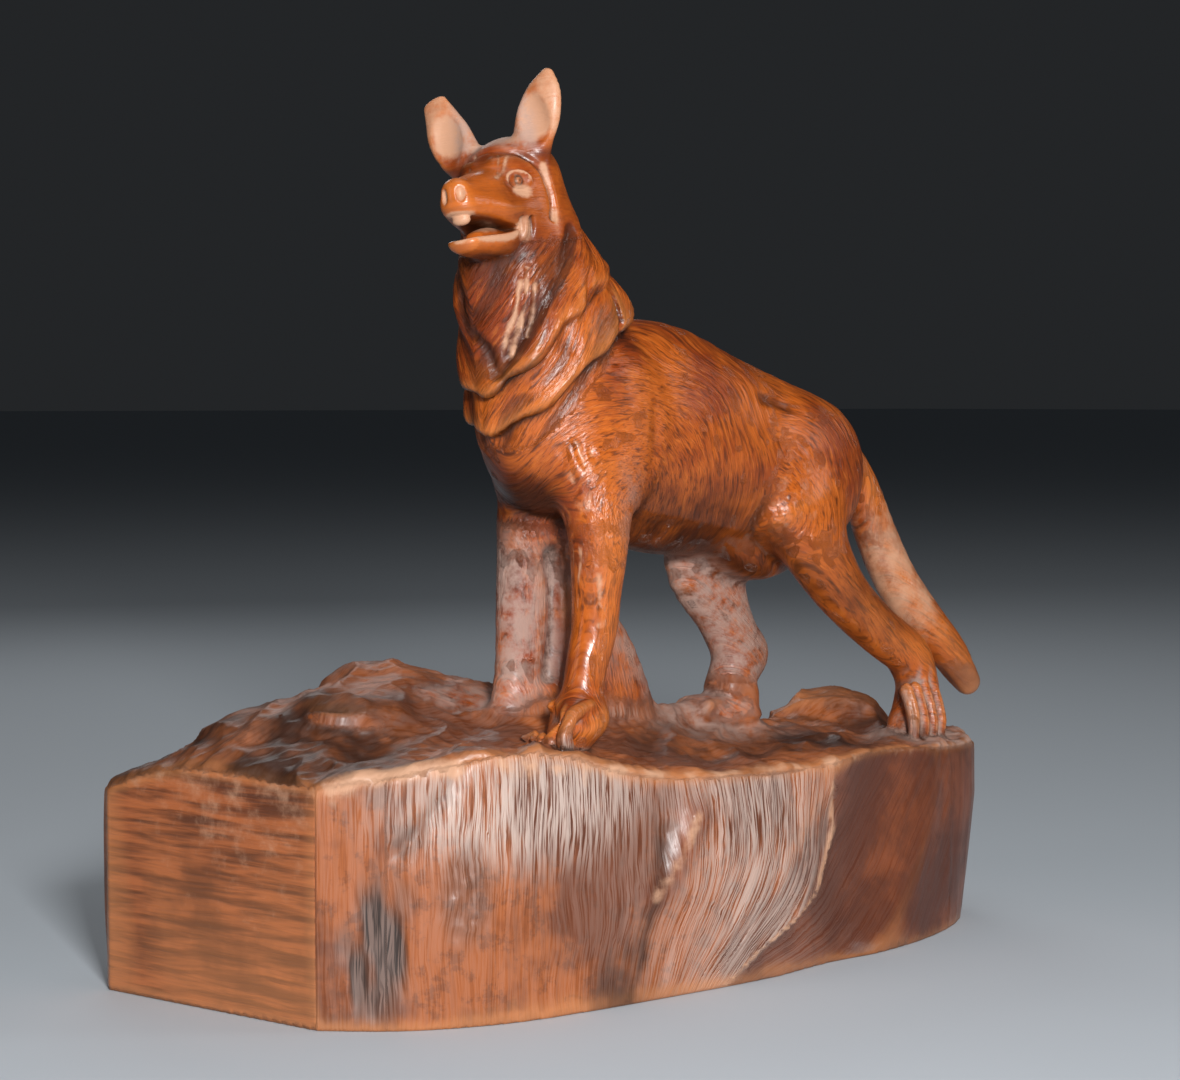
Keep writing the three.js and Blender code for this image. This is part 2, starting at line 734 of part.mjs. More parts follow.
// Thins a closed mesh by drawing the ends of an edge together, the cheapest edges first.
// The cost is the sum of squared distances to the planes of the faces that the ends stand for.
function thin({ points, triangles }, target, weight) {
  const around = points.map(() => new Set());
  triangles.forEach((face, f) => face.forEach((v) => around[v].add(f)));
  const planes = points.map(() => new Float64Array(10));
  for (const face of triangles) {
    const n = normalOf(...face.map((v) => points[v]));
    const area = Math.sqrt(dot(n, n)) || 1;
    const [x, y, z] = n.map((value) => value / area);
    const d = -dot([x, y, z], points[face[0]]);
    const terms = [x * x, x * y, x * z, x * d, y * y, y * z, y * d, z * z, z * d, d * d];
    for (const v of face) terms.forEach((term, t) => (planes[v][t] += term * area));
  }
  const alive = triangles.map(() => true);
  let left = triangles.length;

  const costAt = (q, [x, y, z]) =>
    q[0] * x * x +
    q[4] * y * y +
    q[7] * z * z +
    2 * (q[1] * x * y + q[2] * x * z + q[5] * y * z + q[3] * x + q[6] * y + q[8] * z) +
    q[9];

  // Where an edge's ends would best meet, and at what cost
  const meeting = (i, j) => {
    const q = planes[i].map((term, t) => term + planes[j][t]);
    const middle = points[i].map((value, m) => (value + points[j][m]) / 2);
    const places = [middle, points[i], points[j]];
    const rows = [
      [q[0], q[1], q[2]],
      [q[1], q[4], q[5]],
      [q[2], q[5], q[7]],
    ];
    const first = cross(rows[1], rows[2]);
    const second = cross(rows[2], rows[0]);
    const third = cross(rows[0], rows[1]);
    const scale = dot(rows[0], first);
    if (scale > 1e-3 * (q[0] + q[4] + q[7]) ** 3) {
      places.unshift([0, 1, 2].map((m) => -(q[3] * first[m] + q[6] * second[m] + q[8] * third[m]) / scale));
    }
    const costs = places.map((place) => costAt(q, place));
    const least = costs.indexOf(Math.min(...costs));
    const gap = minus(points[i], points[j]);
    const cost = (Math.max(costs[least], 0) + SHORT_FIRST * dot(gap, gap)) * weight(middle);
    return { i, j, place: places[least], cost };
  };

  const ringOf = (v) => new Set([...around[v]].flatMap((f) => triangles[f]));

  // An edge may go when its ends share two neighbours and no face would turn over.
  const allowed = ({ i, j, place }) => {
    const ring = ringOf(j);
    if ([...ringOf(i)].filter((v) => v !== i && v !== j && ring.has(v)).length !== 2) return false;
    for (const f of new Set([...around[i], ...around[j]])) {
      const face = triangles[f];
      if (face.includes(i) && face.includes(j)) continue;
      const before = normalOf(...face.map((v) => points[v]));
      const after = normalOf(...face.map((v) => (v === i || v === j ? place : points[v])));
      if (dot(before, after) < 0.3 * Math.sqrt(dot(before, before) * dot(after, after))) return false;
    }
    return true;
  };

  const collapse = ({ i, j, place }) => {
    for (const f of around[j]) {
      if (triangles[f].includes(i)) {
        alive[f] = false;
        left--;
        for (const v of triangles[f]) if (v !== j) around[v].delete(f);
      } else {
        triangles[f] = triangles[f].map((v) => (v === j ? i : v));
        around[i].add(f);
      }
    }
    around[j].clear();
    points[i] = place;
    planes[j].forEach((term, t) => (planes[i][t] += term));
  };

  // Each round takes the cheapest quarter of the edges, leaving alone what the round has already moved.
  while (left > target) {
    const edges = [];
    triangles.forEach((face, f) => {
      if (!alive[f]) return;
      for (let m = 0; m < 3; m++) {
        const next = face[(m + 1) % 3];
        if (face[m] < next) edges.push(meeting(face[m], next));
      }
    });
    edges.sort((a, b) => a.cost - b.cost);
    const touched = new Set();
    const before = left;
    for (const edge of edges.slice(0, Math.ceil(edges.length / 4))) {
      if (left <= target) break;
      if (touched.has(edge.i) || touched.has(edge.j) || !allowed(edge)) continue;
      collapse(edge);
      for (const v of ringOf(edge.i)) touched.add(v);
    }
    if (left === before) break;
  }
  return meshOf(
    points,
    triangles.filter((_, f) => alive[f]),
  );
}

// More triangles are spent on the head and the feet.
const FACE = new THREE.Vector3(8, 0, -2).applyMatrix4(headFrame);
const place = new THREE.Vector3();
function weight(p) {
  const fromFace = place.set(...p).distanceTo(FACE);
  return 1 + 7 * clamp((48 - fromFace) / 16, 0, 1);
}

untangle();
const mesh = thin(outerShell(surface()), TARGET_TRIANGLES, weight);

// The origin is below the middle of the carving's box.
const [left, right, near, far] = [0, 1].flatMap((k) => {
  const values = mesh.points.map((p) => p[k]);
  return [Math.min(...values), Math.max(...values)];
});
const [midX, midY] = [(left + right) / 2, (near + far) / 2];
const positions = mesh.points.flatMap(([x, y, z]) => [x - midX, y - midY, z < SOLE ? 0 : z]);
const geometry = new THREE.BufferGeometry();
geometry.setAttribute("position", new THREE.Float32BufferAttribute(positions, 3));
geometry.setIndex(mesh.triangles.flat());
geometry.computeVertexNormals();

const wood = new THREE.MeshStandardMaterial({ color: 0xa4501f, roughness: 0.45, metalness: 0 });
const wolf = new THREE.Mesh(geometry, wood);
wolf.name = "carved_wolf";
const part = new THREE.Group();
part.add(wolf);

export default part;
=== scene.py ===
# A carved boxwood wolf on its rock: the carving, its wood, a pale floor, soft light and the camera.
# The form is the CAD solid's, from the same named sizes, read off a finer grid, with its tool marks.
# Lengths are in millimetres until the mesh is made, and in metres after that.
import math

import bpy
import numpy as np
from mathutils import Euler, Matrix, Vector


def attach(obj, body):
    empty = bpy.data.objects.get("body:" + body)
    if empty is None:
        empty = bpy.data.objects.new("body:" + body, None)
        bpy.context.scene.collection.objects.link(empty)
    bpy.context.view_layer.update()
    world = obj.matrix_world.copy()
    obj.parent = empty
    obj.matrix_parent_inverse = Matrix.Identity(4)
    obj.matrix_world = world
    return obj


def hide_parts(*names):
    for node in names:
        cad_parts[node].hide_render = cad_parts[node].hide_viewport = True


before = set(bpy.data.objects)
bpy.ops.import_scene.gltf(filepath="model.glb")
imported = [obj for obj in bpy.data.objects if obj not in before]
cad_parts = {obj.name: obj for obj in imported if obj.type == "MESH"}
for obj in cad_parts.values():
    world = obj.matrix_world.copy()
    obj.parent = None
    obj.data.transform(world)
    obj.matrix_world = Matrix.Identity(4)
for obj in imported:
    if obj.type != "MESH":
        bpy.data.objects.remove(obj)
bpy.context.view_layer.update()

# Driving dimensions
STEP = 1.05  # spacing of the field's samples on the wolf
ROCK_STEP = 1.6  # the same up the rock
FINE_STEP = 0.5  # the same round the head
ROCK_TOP = 60  # the height up to which that step is used
FAR = 1000.0  # a distance beyond any on the carving
SMOOTHING = 4  # points of a smooth curve for each given one
TARGET_TRIANGLES = 190000

BODY_ORIGIN = (-54, -24, 0)  # below the wolf's breast, in the underside's plane
BODY_TURN = 5  # degrees: the wolf stands a little askew on its rock
HEAD_CENTRE = (-10.3, -2, 253)  # middle of the skull, in the body's frame
HEAD_TURN = 22  # degrees towards the wolf's left
HEAD_ROLL = 9  # the left ear stands higher

LOW = (-170, -78, -6)  # corners of the field
HIGH = (166, 78, 298)
FINE_LOW = (-108, -56, 222)  # and of its fine part
FINE_HIGH = (-48, 0, 292)

# The tiers of the ruff
RUFF_SWELL = 0.3
HEM_WAVES = 9
HEM_EASE = 3
CREST_EASE = 6

LANES = (-1.5, -0.5, 0.5, 1.5)  # four toes, in pitches from the middle of a foot
TOE_PITCH = 4.6  # of the near hind foot
TOE_MIDDLE = 165.5

# Centres of the arcs that the fur of flank and haunch runs in, along the body and up
FLANK_CENTRE = (24, 146)
HAUNCH_CENTRE = (90, 146)

# Widths of the gouge cuts
RUFF_ROW = 2.7
FLANK_ROW = 3.3
HAUNCH_ROW = 3.2
LEG_ROW = 2.8

# Heights and depths of the tool marks
RUFF_CUT = 0.45
RUFF_WAVE = 0.7
COAT_CUT = 0.36
ROLL_HEIGHT = 1.1
FOLD_DEPTH = 2
CHEST_V_DEPTH = 1.6
LOCK_DEPTH = 1.1
BELLY_EDGE_HEIGHT = 0.8
HIP_DEPTH = 0.8
SHOULDER_CUT = 0.45
TOE_HEIGHT = 0.4
LID_HEIGHT = 0.4
IRIS_DEPTH = 0.5
BROW_CUT = 0.4
CREASE_DEPTH = 1.6
KNOT_DEPTH = 1.4
CRACK_DEPTH = 1.3
BULGE_HEIGHT = 2
RIM_HEIGHT = 0.7
ROUGH_HEIGHT = 0.5

# The camera and the floor, in metres and degrees
CAMERA_PLACE = (-0.54035, -0.6821, 0.186)
CAMERA_HEADING = 38
CAMERA_PITCH = 3.08
CAMERA_LENS = 79.3
FLOOR_REACH = 40

rock_frame = Matrix.Identity(4)
body_frame = Matrix.Translation(BODY_ORIGIN) @ Matrix.Rotation(math.radians(BODY_TURN), 4, "Z")
head_frame = (
    body_frame
    @ Matrix.Translation(HEAD_CENTRE)
    @ Matrix.Rotation(math.pi + math.radians(HEAD_TURN), 4, "Z")
    @ Matrix.Rotation(math.radians(HEAD_ROLL), 4, "X")
)


def places_along(axis):
    """Places of the samples along one axis"""
    places = [LOW[axis]]
    while places[-1] < HIGH[axis]:
        at = places[-1]
        step = ROCK_STEP if axis == 2 and at < ROCK_TOP else STEP
        if FINE_LOW[axis] <= at < FINE_HIGH[axis]:
            step = FINE_STEP
        places.append(at + step)
    return np.array(places, np.float32)


TICKS = [places_along(axis) for axis in range(3)]
field = np.full([len(t) for t in TICKS], FAR, np.float32)


# Shaping the field

def window(low, high):
    """The samples inside a box: their slices, and their places as three arrays that broadcast"""
    slices = [slice(*np.searchsorted(TICKS[k], (low[k], high[k]))) for k in range(3)]
    x, y, z = (TICKS[k][slices[k]] for k in range(3))
    return tuple(slices), x[:, None, None], y[None, :, None], z[None, None, :]


def smooth_least(a, b, blend):
    """The lesser of two distances, rounded where they meet"""
    h = np.maximum(blend - np.abs(a - b), 0) / blend
    return np.minimum(a, b) - h * h * blend / 4


def join(blend, *solids):
    """Adds solids to the wood, with a fillet of about the blend's size"""
    for sample in solids:
        slices, gap = sample(blend + 2 * ROCK_STEP)
        field[slices] = smooth_least(field[slices], gap, blend)


def carve(blend, *solids):
    """Cuts solids out of the wood, with the edges eased by the blend"""
    for sample in solids:
        slices, gap = sample(blend + 2 * ROCK_STEP)
        field[slices] = -smooth_least(-field[slices], gap, blend)


def ellipsoid_gap(u, v, w, a, b, c):
    """Near distance from points to an ellipsoid of half sizes a, b and c"""
    p, q, r = u / a, v / b, w / c
    near = np.sqrt(p * p + q * q + r * r)
    steep = np.sqrt((p / a) ** 2 + (q / b) ** 2 + (r / c) ** 2)
    return near * (near - 1) / np.maximum(steep, 1e-6)


def local(matrix, x, y, z):
    """Places in a frame's own coordinates"""
    m = matrix.inverted()
    return [m[i][0] * x + m[i][1] * y + m[i][2] * z + m[i][3] for i in range(3)]


def through(p, q, r, s, t):
    """Cubic through four equally spaced values, between the second and the third"""
    m = (r - p) / 2
    n = (s - q) / 2
    return q + t * (m + t * (3 * (r - q) - 2 * m - n + t * (2 * (q - r) + m + n)))


def smooth_chain(points):
    """A smooth chain of points through the given ones"""
    points = np.array(points, float)
    last = len(points) - 1
    chain = []
    for i in range(last * SMOOTHING + 1):
        at = min(i // SMOOTHING, last - 1)
        four = [points[min(max(k, 0), last)] for k in (at - 1, at, at + 1, at + 2)]
        chain.append(through(*four, i / SMOOTHING - at))
    return chain


def tube(matrix, stations):
    """A tube along a smooth curve of stations: x, y, z, half width along Y and half depth"""
    rings = smooth_chain(stations)
    centres = [np.array(matrix @ Vector(r[:3])) for r in rings]
    sideways = np.array(matrix.to_3x3() @ Vector((0, 1, 0)))

    def sample(margin):
        reaches = [max(r[3], r[4]) + margin for r in rings]
        low = np.min([c - reach for c, reach in zip(centres, reaches)], 0)
        high = np.max([c + reach for c, reach in zip(centres, reaches)], 0)
        outer = window(low, high)[0]
        gap = np.full([s.stop - s.start for s in outer], FAR, np.float32)
        for i in range(len(rings) - 1):
            a, b = centres[i], centres[i + 1]
            reach = max(reaches[i], reaches[i + 1])
            nearest = np.maximum(np.minimum(a, b) - reach, low)
            farthest = np.minimum(np.maximum(a, b) + reach, high)
            inner, x, y, z = window(nearest, farthest)
            along = b - a
            length = np.linalg.norm(along)
            along = along / length
            side = sideways - along * sideways.dot(along)
            side /= np.linalg.norm(side)
            deep = np.cross(along, side)
            x, y, z = x - a[0], y - a[1], z - a[2]
            s = x * along[0] + y * along[1] + z * along[2]
            t = np.clip(s / length, 0, 1)
            width = rings[i][3] + (rings[i + 1][3] - rings[i][3]) * t
            depth = rings[i][4] + (rings[i + 1][4] - rings[i][4]) * t
            u = x * side[0] + y * side[1] + z * side[2]
            v = x * deep[0] + y * deep[1] + z * deep[2]
            near = ellipsoid_gap(u, v, s - t * length, width, depth, np.minimum(width, depth))
            part = tuple(slice(n.start - o.start, n.stop - o.start) for n, o in zip(inner, outer))
            gap[part] = np.minimum(gap[part], near)
        return outer, gap

    return sample


def strand(matrix, radius, *points):
    """A thin tube of one radius through points, for grooves and ridges"""
    return tube(matrix, [(*p, radius, radius) for p in points])


def egg(matrix, centre, halves, turns=(0, 0, 0)):
    """An ellipsoid turned by degrees about its own X, then Y, then Z"""
    turned = Euler([math.radians(t) for t in turns], "XYZ").to_matrix().to_4x4()
    placed = matrix @ Matrix.Translation(centre) @ turned
    middle = np.array(placed.translation)

    def sample(margin):
        reach = max(halves) + margin
        slices, x, y, z = window(middle - reach, middle + reach)
        return slices, ellipsoid_gap(*local(placed, x, y, z), *halves)

    return sample


def tier(top, hem, top_halves, hem_halves, tilt, lift, wave):
    """A tier of the ruff: a flaring cone with an oval section, cut off at a tilted, waving hem"""
    placed = body_frame @ Matrix.Translation(hem) @ Matrix.Rotation(-math.radians(tilt), 4, "Y")
    crest = placed.inverted() @ (body_frame @ Vector(top))
    middle = np.array(placed.translation)

    def sample(margin):
        reach = max(*hem_halves, crest.length) + margin
        slices, x, y, z = window(middle - reach, middle + reach)
        x, y, z = local(placed, x, y, z)
        s = np.clip(z / crest.z, 0, 1)
        swell = 1 + RUFF_SWELL * s * (1 - s)
        a = (hem_halves[0] + (top_halves[0] - hem_halves[0]) * s) * swell
        b = (hem_halves[1] + (top_halves[1] - hem_halves[1]) * s) * swell
        u = x - crest.x * s
        v = y - crest.y * s
        angle = np.arctan2(v / b, u / a)
        wall = ellipsoid_gap(u, v, 0, a, b, FAR)
        lip = lift * np.sin(angle) ** 2 + wave * np.sin(HEM_WAVES * angle)
        cut = -smooth_least(-wall, z - lip, HEM_EASE)
        return slices, -smooth_least(-cut, crest.z - z, CREST_EASE)

    return sample


# The rock

OUTLINE = [
    (-139, -36), (-121, -51), (-99, -61), (-72, -66), (-14, -67), (36, -64.5), (92, -55), (132, -36),
    (150, -8), (141, 30), (100, 54), (36, 65), (-45, 68), (-120, 66), (-154, 60), (-162, 50),
]
WALL_LEAN = 5.5  # how far the tail's end of the rock leans out over its foot
LEAN_FROM = 110
LEAN_OVER = 35
LEAN_HEIGHT = 45
EDGE_EASE = 5  # rounding of the top's edge
TOP_LIMIT = 104  # above the whole of the top
TOP_X = (-160, -120, -80, -40, 0, 40, 80, 120, 160)
TOP_Y = (-58, -25, 22, 62)
TOP_HEIGHTS = (
    (68, 78, 83, 73, 69, 69, 68, 67, 65),
    (71, 79, 81, 81, 77, 73, 69, 67, 65),
    (73, 88, 97, 92, 81, 75, 71, 67, 65),
    (65, 74, 82, 80, 71, 68, 65, 62, 60),
)


def outline_gap(x, y):
    """Signed distance to the outline on the underside"""
    chain = smooth_chain(OUTLINE)
    least = np.full(np.broadcast(x, y).shape, FAR)
    inside = np.zeros(least.shape, bool)
    for (ax, ay), (bx, by) in zip(chain, chain[1:] + chain[:1]):
        ex, ey = bx - ax, by - ay
        t = np.clip(((x - ax) * ex + (y - ay) * ey) / (ex * ex + ey * ey), 0, 1)
        least = np.minimum(least, np.hypot(x - ax - t * ex, y - ay - t * ey))
        if ay != by:
            inside ^= ((ay > y) != (by > y)) & (x < ax + ex * (y - ay) / ey)
    return np.where(inside, -least, least)


def values_at(knots, values, at):
    """Smooth values at places along uneven knots"""
    knots = np.array(knots, float)
    values = np.array(values, float)
    last = len(knots) - 1
    i = np.clip(np.searchsorted(knots, at, side="right") - 1, 0, last - 1)
    t = np.clip((at - knots[i]) / (knots[i + 1] - knots[i]), 0, 1)
    t = t.reshape(t.shape + (1,) * (values.ndim - 1))
    four = [values[np.clip(i + k, 0, last)] for k in (-1, 0, 1, 2)]
    return through(*four, t)


def rock_body(margin):
    """The rock: its walls, which lean out at the tail's end, under the surface of its top"""
    slices, x, y, z = window((LOW[0], LOW[1], -margin), (HIGH[0], HIGH[1], TOP_LIMIT + margin))
    rows = values_at(TOP_X, np.transpose(TOP_HEIGHTS), x[:, 0, 0])
    top = values_at(TOP_Y, rows.T, y[0, :, 0]).T[:, :, None]
    wall = outline_gap(x[:, :, 0], y[:, :, 0])[:, :, None]
    lean = WALL_LEAN * np.clip((x - LEAN_FROM) / LEAN_OVER, 0, 1) * np.clip(z / LEAN_HEIGHT, 0, 1)
    return slices, -smooth_least(lean - wall, top - z, EDGE_EASE)


def shape_rock():
    join(1, rock_body)
    # The far boulder
    join(4, egg(rock_frame, (126, 27, 63.5), (27, 15, 15), (0, 4, 0)))
    # The fibrous swell of the near wall, and the smooth hollow beside it
    join(6, egg(rock_frame, (0, -56, 38), (56, 13, 32), (0, 0, 3)))
    carve(2, egg(rock_frame, (58, -70, 34), (36, 14, 90), (0, 45, 12)))


# The wolf

def paw(centre, halves, pitch):
    """A paw with four toes that bend down over its front; the pitch tips the toes up"""
    length, width, height = halves
    placed = body_frame @ Matrix.Translation(centre) @ Matrix.Rotation(math.radians(pitch), 4, "Y")
    join(5, egg(placed, (0, 0, -0.1 * height), (0.9 * length, 0.95 * width, 0.9 * height)))
    for lane in LANES:
        side = 0.5 * lane * width
        toe = [
            (0.1 * length, 0.8 * side, 0.6 * height),
            (-0.6 * length, side, 0.55 * height),
            (-1.05 * length + 0.6 * lane**2, side, -0.1 * height),
            (-1.1 * length + 0.6 * lane**2, side, -0.8 * height),
        ]
        join(0.8, strand(placed, 0.27 * width, *toe))


def shape_trunk():
    join(
        12,
        tube(body_frame, [
            (8, 0, 171, 18, 20),
            (28, 0, 178, 22, 31),
            (54, 0, 177, 23, 35),
            (84, 0, 171, 22, 31),
            (110, 0, 166, 19, 28),
            (130, 0, 162, 17, 25),
            (139, 0, 160, 12, 18),
        ]),
        tube(body_frame, [
            (22, 0, 176, 21, 24),
            (9, 0, 196, 22, 25),
            (1.5, 0, 218, 21, 23.5),
            (-0.7, -1, 233, 18, 20.6),
            (-2, -1, 245, 14.5, 17),
            (-3.5, -2, 254, 12, 14),
        ]),
    )
    # Keel of the belly, and the groin
    join(8, egg(body_frame, (78, 5, 146), (42, 13, 12)), egg(body_frame, (110, 3, 137), (22, 11, 13)))
    # Ruff
    join(
        2,
        tier((6, -1, 216), (12.6, 0, 195), (22, 21), (35.2, 25.4), tilt=36, lift=5, wave=0.8),
        tier((-4, -1, 236), (5.2, -1, 206.8), (15, 15), (32.4, 24), tilt=39, lift=7, wave=0.8),
    )


def shape_legs():
    # Shoulders
    join(
        8,
        egg(body_frame, (22, -16, 172), (17, 9, 30), (0, 12, 0)),
        egg(body_frame, (22, 16, 170), (17, 9, 30), (0, 12, 0)),
    )
    # Left foreleg
    join(
        6,
        tube(body_frame, [
            (15, -18, 162, 9, 13),
            (14, -20, 143, 9, 10),
            (13, -20, 126, 7.5, 8.2),
            (12, -20, 114, 6.8, 7.6),
            (9, -20, 104, 6.4, 6.8),
            (7, -20, 95, 6.2, 6.6),
            (4, -20, 87, 7, 8),
        ]),
    )
    paw((3, -21.5, 86.5), (12.5, 9, 7.5), -12)
    # Right foreleg and the stump behind it
    join(
        6,
        tube(body_frame, [
            (17, 12, 145, 11, 15),
            (22, 12, 118, 10, 22),
            (28, 11, 96, 11, 31),
            (31, 10, 78, 13, 36),
        ]),
    )
    # Its dusty facet with an oval muscle, beside the polished rim
    carve(3, tube(body_frame, [(14, 1, 136, 4, 3), (16, 0, 118, 5, 3), (13, 1, 98, 4, 3)]))
    join(3, egg(body_frame, (23, 4, 114), (5.5, 4, 15), (0, -8, 0)))
    # Left hind leg
    join(8, egg(body_frame, (119, -12, 160), (25, 12, 26), (0, 20, 0)))
    join(
        6,
        tube(body_frame, [
            (110, -16, 150, 10, 16),
            (118, -18, 135, 9, 13),
            (132, -18, 119, 8, 9.8),
            (151, -18, 105, 7.4, 8.6),
            (166, -18, 96, 7.4, 8.4),
            (171.5, -18, 86, 7.5, 7.5),
            (171, -18, 76, 8.5, 8),
            (169, -18, 70, 9, 9),
        ]),
    )
    # Its toes hang over the near edge of the rock.
    for lane in LANES:
        across = TOE_MIDDLE + TOE_PITCH * lane
        toe = [(across, -24, 84), (across, -26.5, 78), (across, -28, 71), (across, -27, 65)]
        join(0.8, strand(body_frame, 2.5, *toe))
    # Right hind leg
    join(8, egg(body_frame, (112, 13, 157), (27, 11, 27), (0, 20, 0)))
    join(
        6,
        tube(body_frame, [
            (98, 13, 140, 11, 22),
            (98, 15, 128, 9, 17),
            (106, 15, 112, 8, 11),
            (113, 15, 98, 8, 10),
            (110, 15, 87, 8, 9),
            (109, 15, 74, 10, 11),
        ]),
        egg(body_frame, (121, 15, 97), (5, 5, 7)),
    )
    paw((102, 15, 77), (13, 8, 6), 4)
    # The low web of wood between the stump and the right hind leg
    join(6, tube(body_frame, [(52, 11, 76, 9, 9), (76, 12, 76, 6, 6), (98, 15, 75, 8, 7)]))
    # Tail
    join(
        3,
        tube(body_frame, [
            (146, 0, 172, 6, 7),
            (158, -1, 157, 6.5, 7),
            (166, -3, 138, 7, 8),
            (174, -6, 121, 7, 8.5),
            (186, -9, 106, 7, 8),
            (199, -11, 93, 6, 7),
            (208, -12, 82, 3.5, 4.5),
        ]),
    )


def shape_head():
    # Skull, cheeks and snout
    join(6, egg(head_frame, (-3, 0, -1.5), (15, 13.5, 12.5)), egg(head_frame, (-6, 0, 2), (11, 12, 11.5)))
    for side in (1, -1):
        join(6, egg(head_frame, (-1, side * 7, -9), (11, 6.5, 9)))
    join(
        4,
        tube(head_frame, (
            (2, 0, 0, 11, 10),
            (12, 0, -3.6, 9.8, 7.4),
            (22, 0, -5, 7.2, 6.2),
            (30, 0, -6.4, 4.8, 5.2),
        )),
        tube(head_frame, (
            (2, 0, -9, 12.5, 7),
            (13, 0, -10.4, 11.8, 5.4),
            (22, 0, -9.6, 9.4, 4.8),
            (30, 0, -9, 6, 4.6),
        )),
        tube(head_frame, (
            (0, 0, -15, 10.5, 8),
            (12, 0, -18, 9.2, 6),
            (22, 0, -19.2, 7.8, 5),
            (30.5, 0, -19.8, 5.6, 3.8),
        )),
    )
    # Brows, and the nose leather
    for side in (1, -1):
        join(2, strand(head_frame, 1.6, (11, side * 3.5, 4.6), (8.5, side * 7, 5), (4, side * 10.2, 3)))
    join(2, egg(head_frame, (32, 0, -4), (3, 4, 3)))
    # The groove round the face, over the crown and down behind the cheeks
    for side in (1, -1):
        groove = [
            (8, 0, 10.4),
            (7, side * 5.6, 9),
            (4.2, side * 10.6, 6.4),
            (0.8, side * 14, 2.2),
            (-0.8, side * 15.3, -3),
            (-1.8, side * 15.4, -8.5),
            (-1, side * 15, -13),
        ]
        carve(1, strand(head_frame, 1.5, *groove))
    # Open mouth
    carve(
        1,
        tube(head_frame, [
            (11, 0, -16, 12, 0.7),
            (16, 0, -16, 12, 2),
            (24, 0, -15.8, 12, 3.2),
            (44, 0, -15.6, 12, 4.4),
        ]),
    )
    # Tongue and upper teeth
    join(
        1,
        tube(head_frame, [
            (12, 1, -17.4, 3.6, 1.8),
            (19, 1, -17.4, 3.8, 2.2),
            (26, 1, -18.4, 3, 1.6),
        ]),
        egg(head_frame, (31, 0, -13.4), (2, 3, 1.7)),
    )
    # Ears
    join(
        2.5,
        tube(head_frame, [
            (-3, 9.5, 6, 6, 5),
            (-1.5, 12, 12, 6.6, 3.6),
            (-1, 15.4, 19, 7.3, 3),
            (-1.2, 18.4, 26, 5.6, 2.4),
            (-1.6, 20, 31, 2, 1.3),
        ]),
        tube(head_frame, [
            (-3, -10.5, 6, 6, 5),
            (-1.5, -14, 12, 7.4, 3.6),
            (-1, -16.6, 18.5, 7.4, 3),
            (-1.2, -18.3, 24, 5.8, 2.6),
            (-1.6, -20.2, 29.4, 4.2, 1.5),
        ]),
    )
    # Their hollows
    carve(
        0.8,
        egg(head_frame, (3.8, 14.6, 18), (4.2, 6.4, 13), (18, 0, 0)),
        egg(head_frame, (3.8, -16.2, 17), (4.2, 6.8, 12.5), (-14, 0, 0)),
    )
    for side in (1, -1):
        # Eye socket and ball
        carve(1, egg(head_frame, (11.6, side * 10.9, -2), (1.7, 5.2, 3.2), (0, 0, side * 67)))
        join(0.6, egg(head_frame, (9.4, side * 8.6, -1.8), (2.6, 2.6, 2.4)))
        # Nostril, and creases behind the corner of the mouth
        carve(0.6, egg(head_frame, (34.9, side * 2.8, -6), (1.5, 1.2, 2.4)))
        for back in (11, 7.4):
            out = 14.4 - 0.44 * back
            cut = [
                (back, side * (out + 0.4), -13.4),
                (back - 0.7, side * out, -16.2),
                (back, side * (out - 0.3), -19),
            ]
            carve(0.6, strand(head_frame, 1, *cut))


def shape_folds():
    # Cuts between the locks of the ruff and down the throat
    carve(
        1.2,
        strand(body_frame, 1.3, (-22, 8, 224), (-22.5, -2, 210.5), (-20, -9, 199)),
        strand(body_frame, 1.2, (-12.5, -19.5, 221), (-16.5, -15.5, 209), (-19, -11.5, 198)),
        strand(body_frame, 1.1, (-3, -22.5, 221), (-9, -21, 205), (-13, -18.5, 192)),
        strand(body_frame, 1.1, (9, -21.5, 226), (5, -23.5, 214), (0, -24, 201)),
        strand(body_frame, 1.1, (20, -17, 224), (21, -24, 206), (15, -27, 192)),
    )
    # Hollows behind the shoulder and before the haunch
    for side in (-1, 1):
        carve(3, egg(body_frame, (35, side * 29, 171), (3.5, 5, 20)))
        carve(3, egg(body_frame, (97, side * 29, 176), (4, 6, 20), (0, 14, 0)))


def shape_rock_top():
    # Lumps on top, and the scoop before the boulder
    join(
        8,
        egg(rock_frame, (-98, 4, 86), (21, 16, 8), (0, 10, 20)),
        egg(rock_frame, (-70, 34, 89), (20, 16, 11), (6, 0, 0)),
        egg(rock_frame, (-124, 24, 79), (14, 20, 8), (0, -14, 0)),
        egg(rock_frame, (-34, 44, 80), (22, 14, 9), (0, 6, 10)),
        egg(rock_frame, (60, 44, 62), (24, 12, 9), (0, 4, -12)),
    )
    carve(
        5,
        egg(rock_frame, (46, -26, 76), (34, 13, 7), (0, 3, 8)),
        egg(rock_frame, (96, -12, 74), (18, 10, 5)),
        egg(rock_frame, (-110, -38, 88), (20, 12, 7), (0, -6, 28)),
        egg(rock_frame, (-74, -42, 90), (19, 12, 6), (0, 8, 6)),
    )


# From the field to a mesh

CORNERS = np.array([(c & 1, c >> 1 & 1, c >> 2) for c in range(8)])
CELL_EDGES = [(c, c | bit) for c in range(8) for bit in (1, 2, 4) if not c & bit]


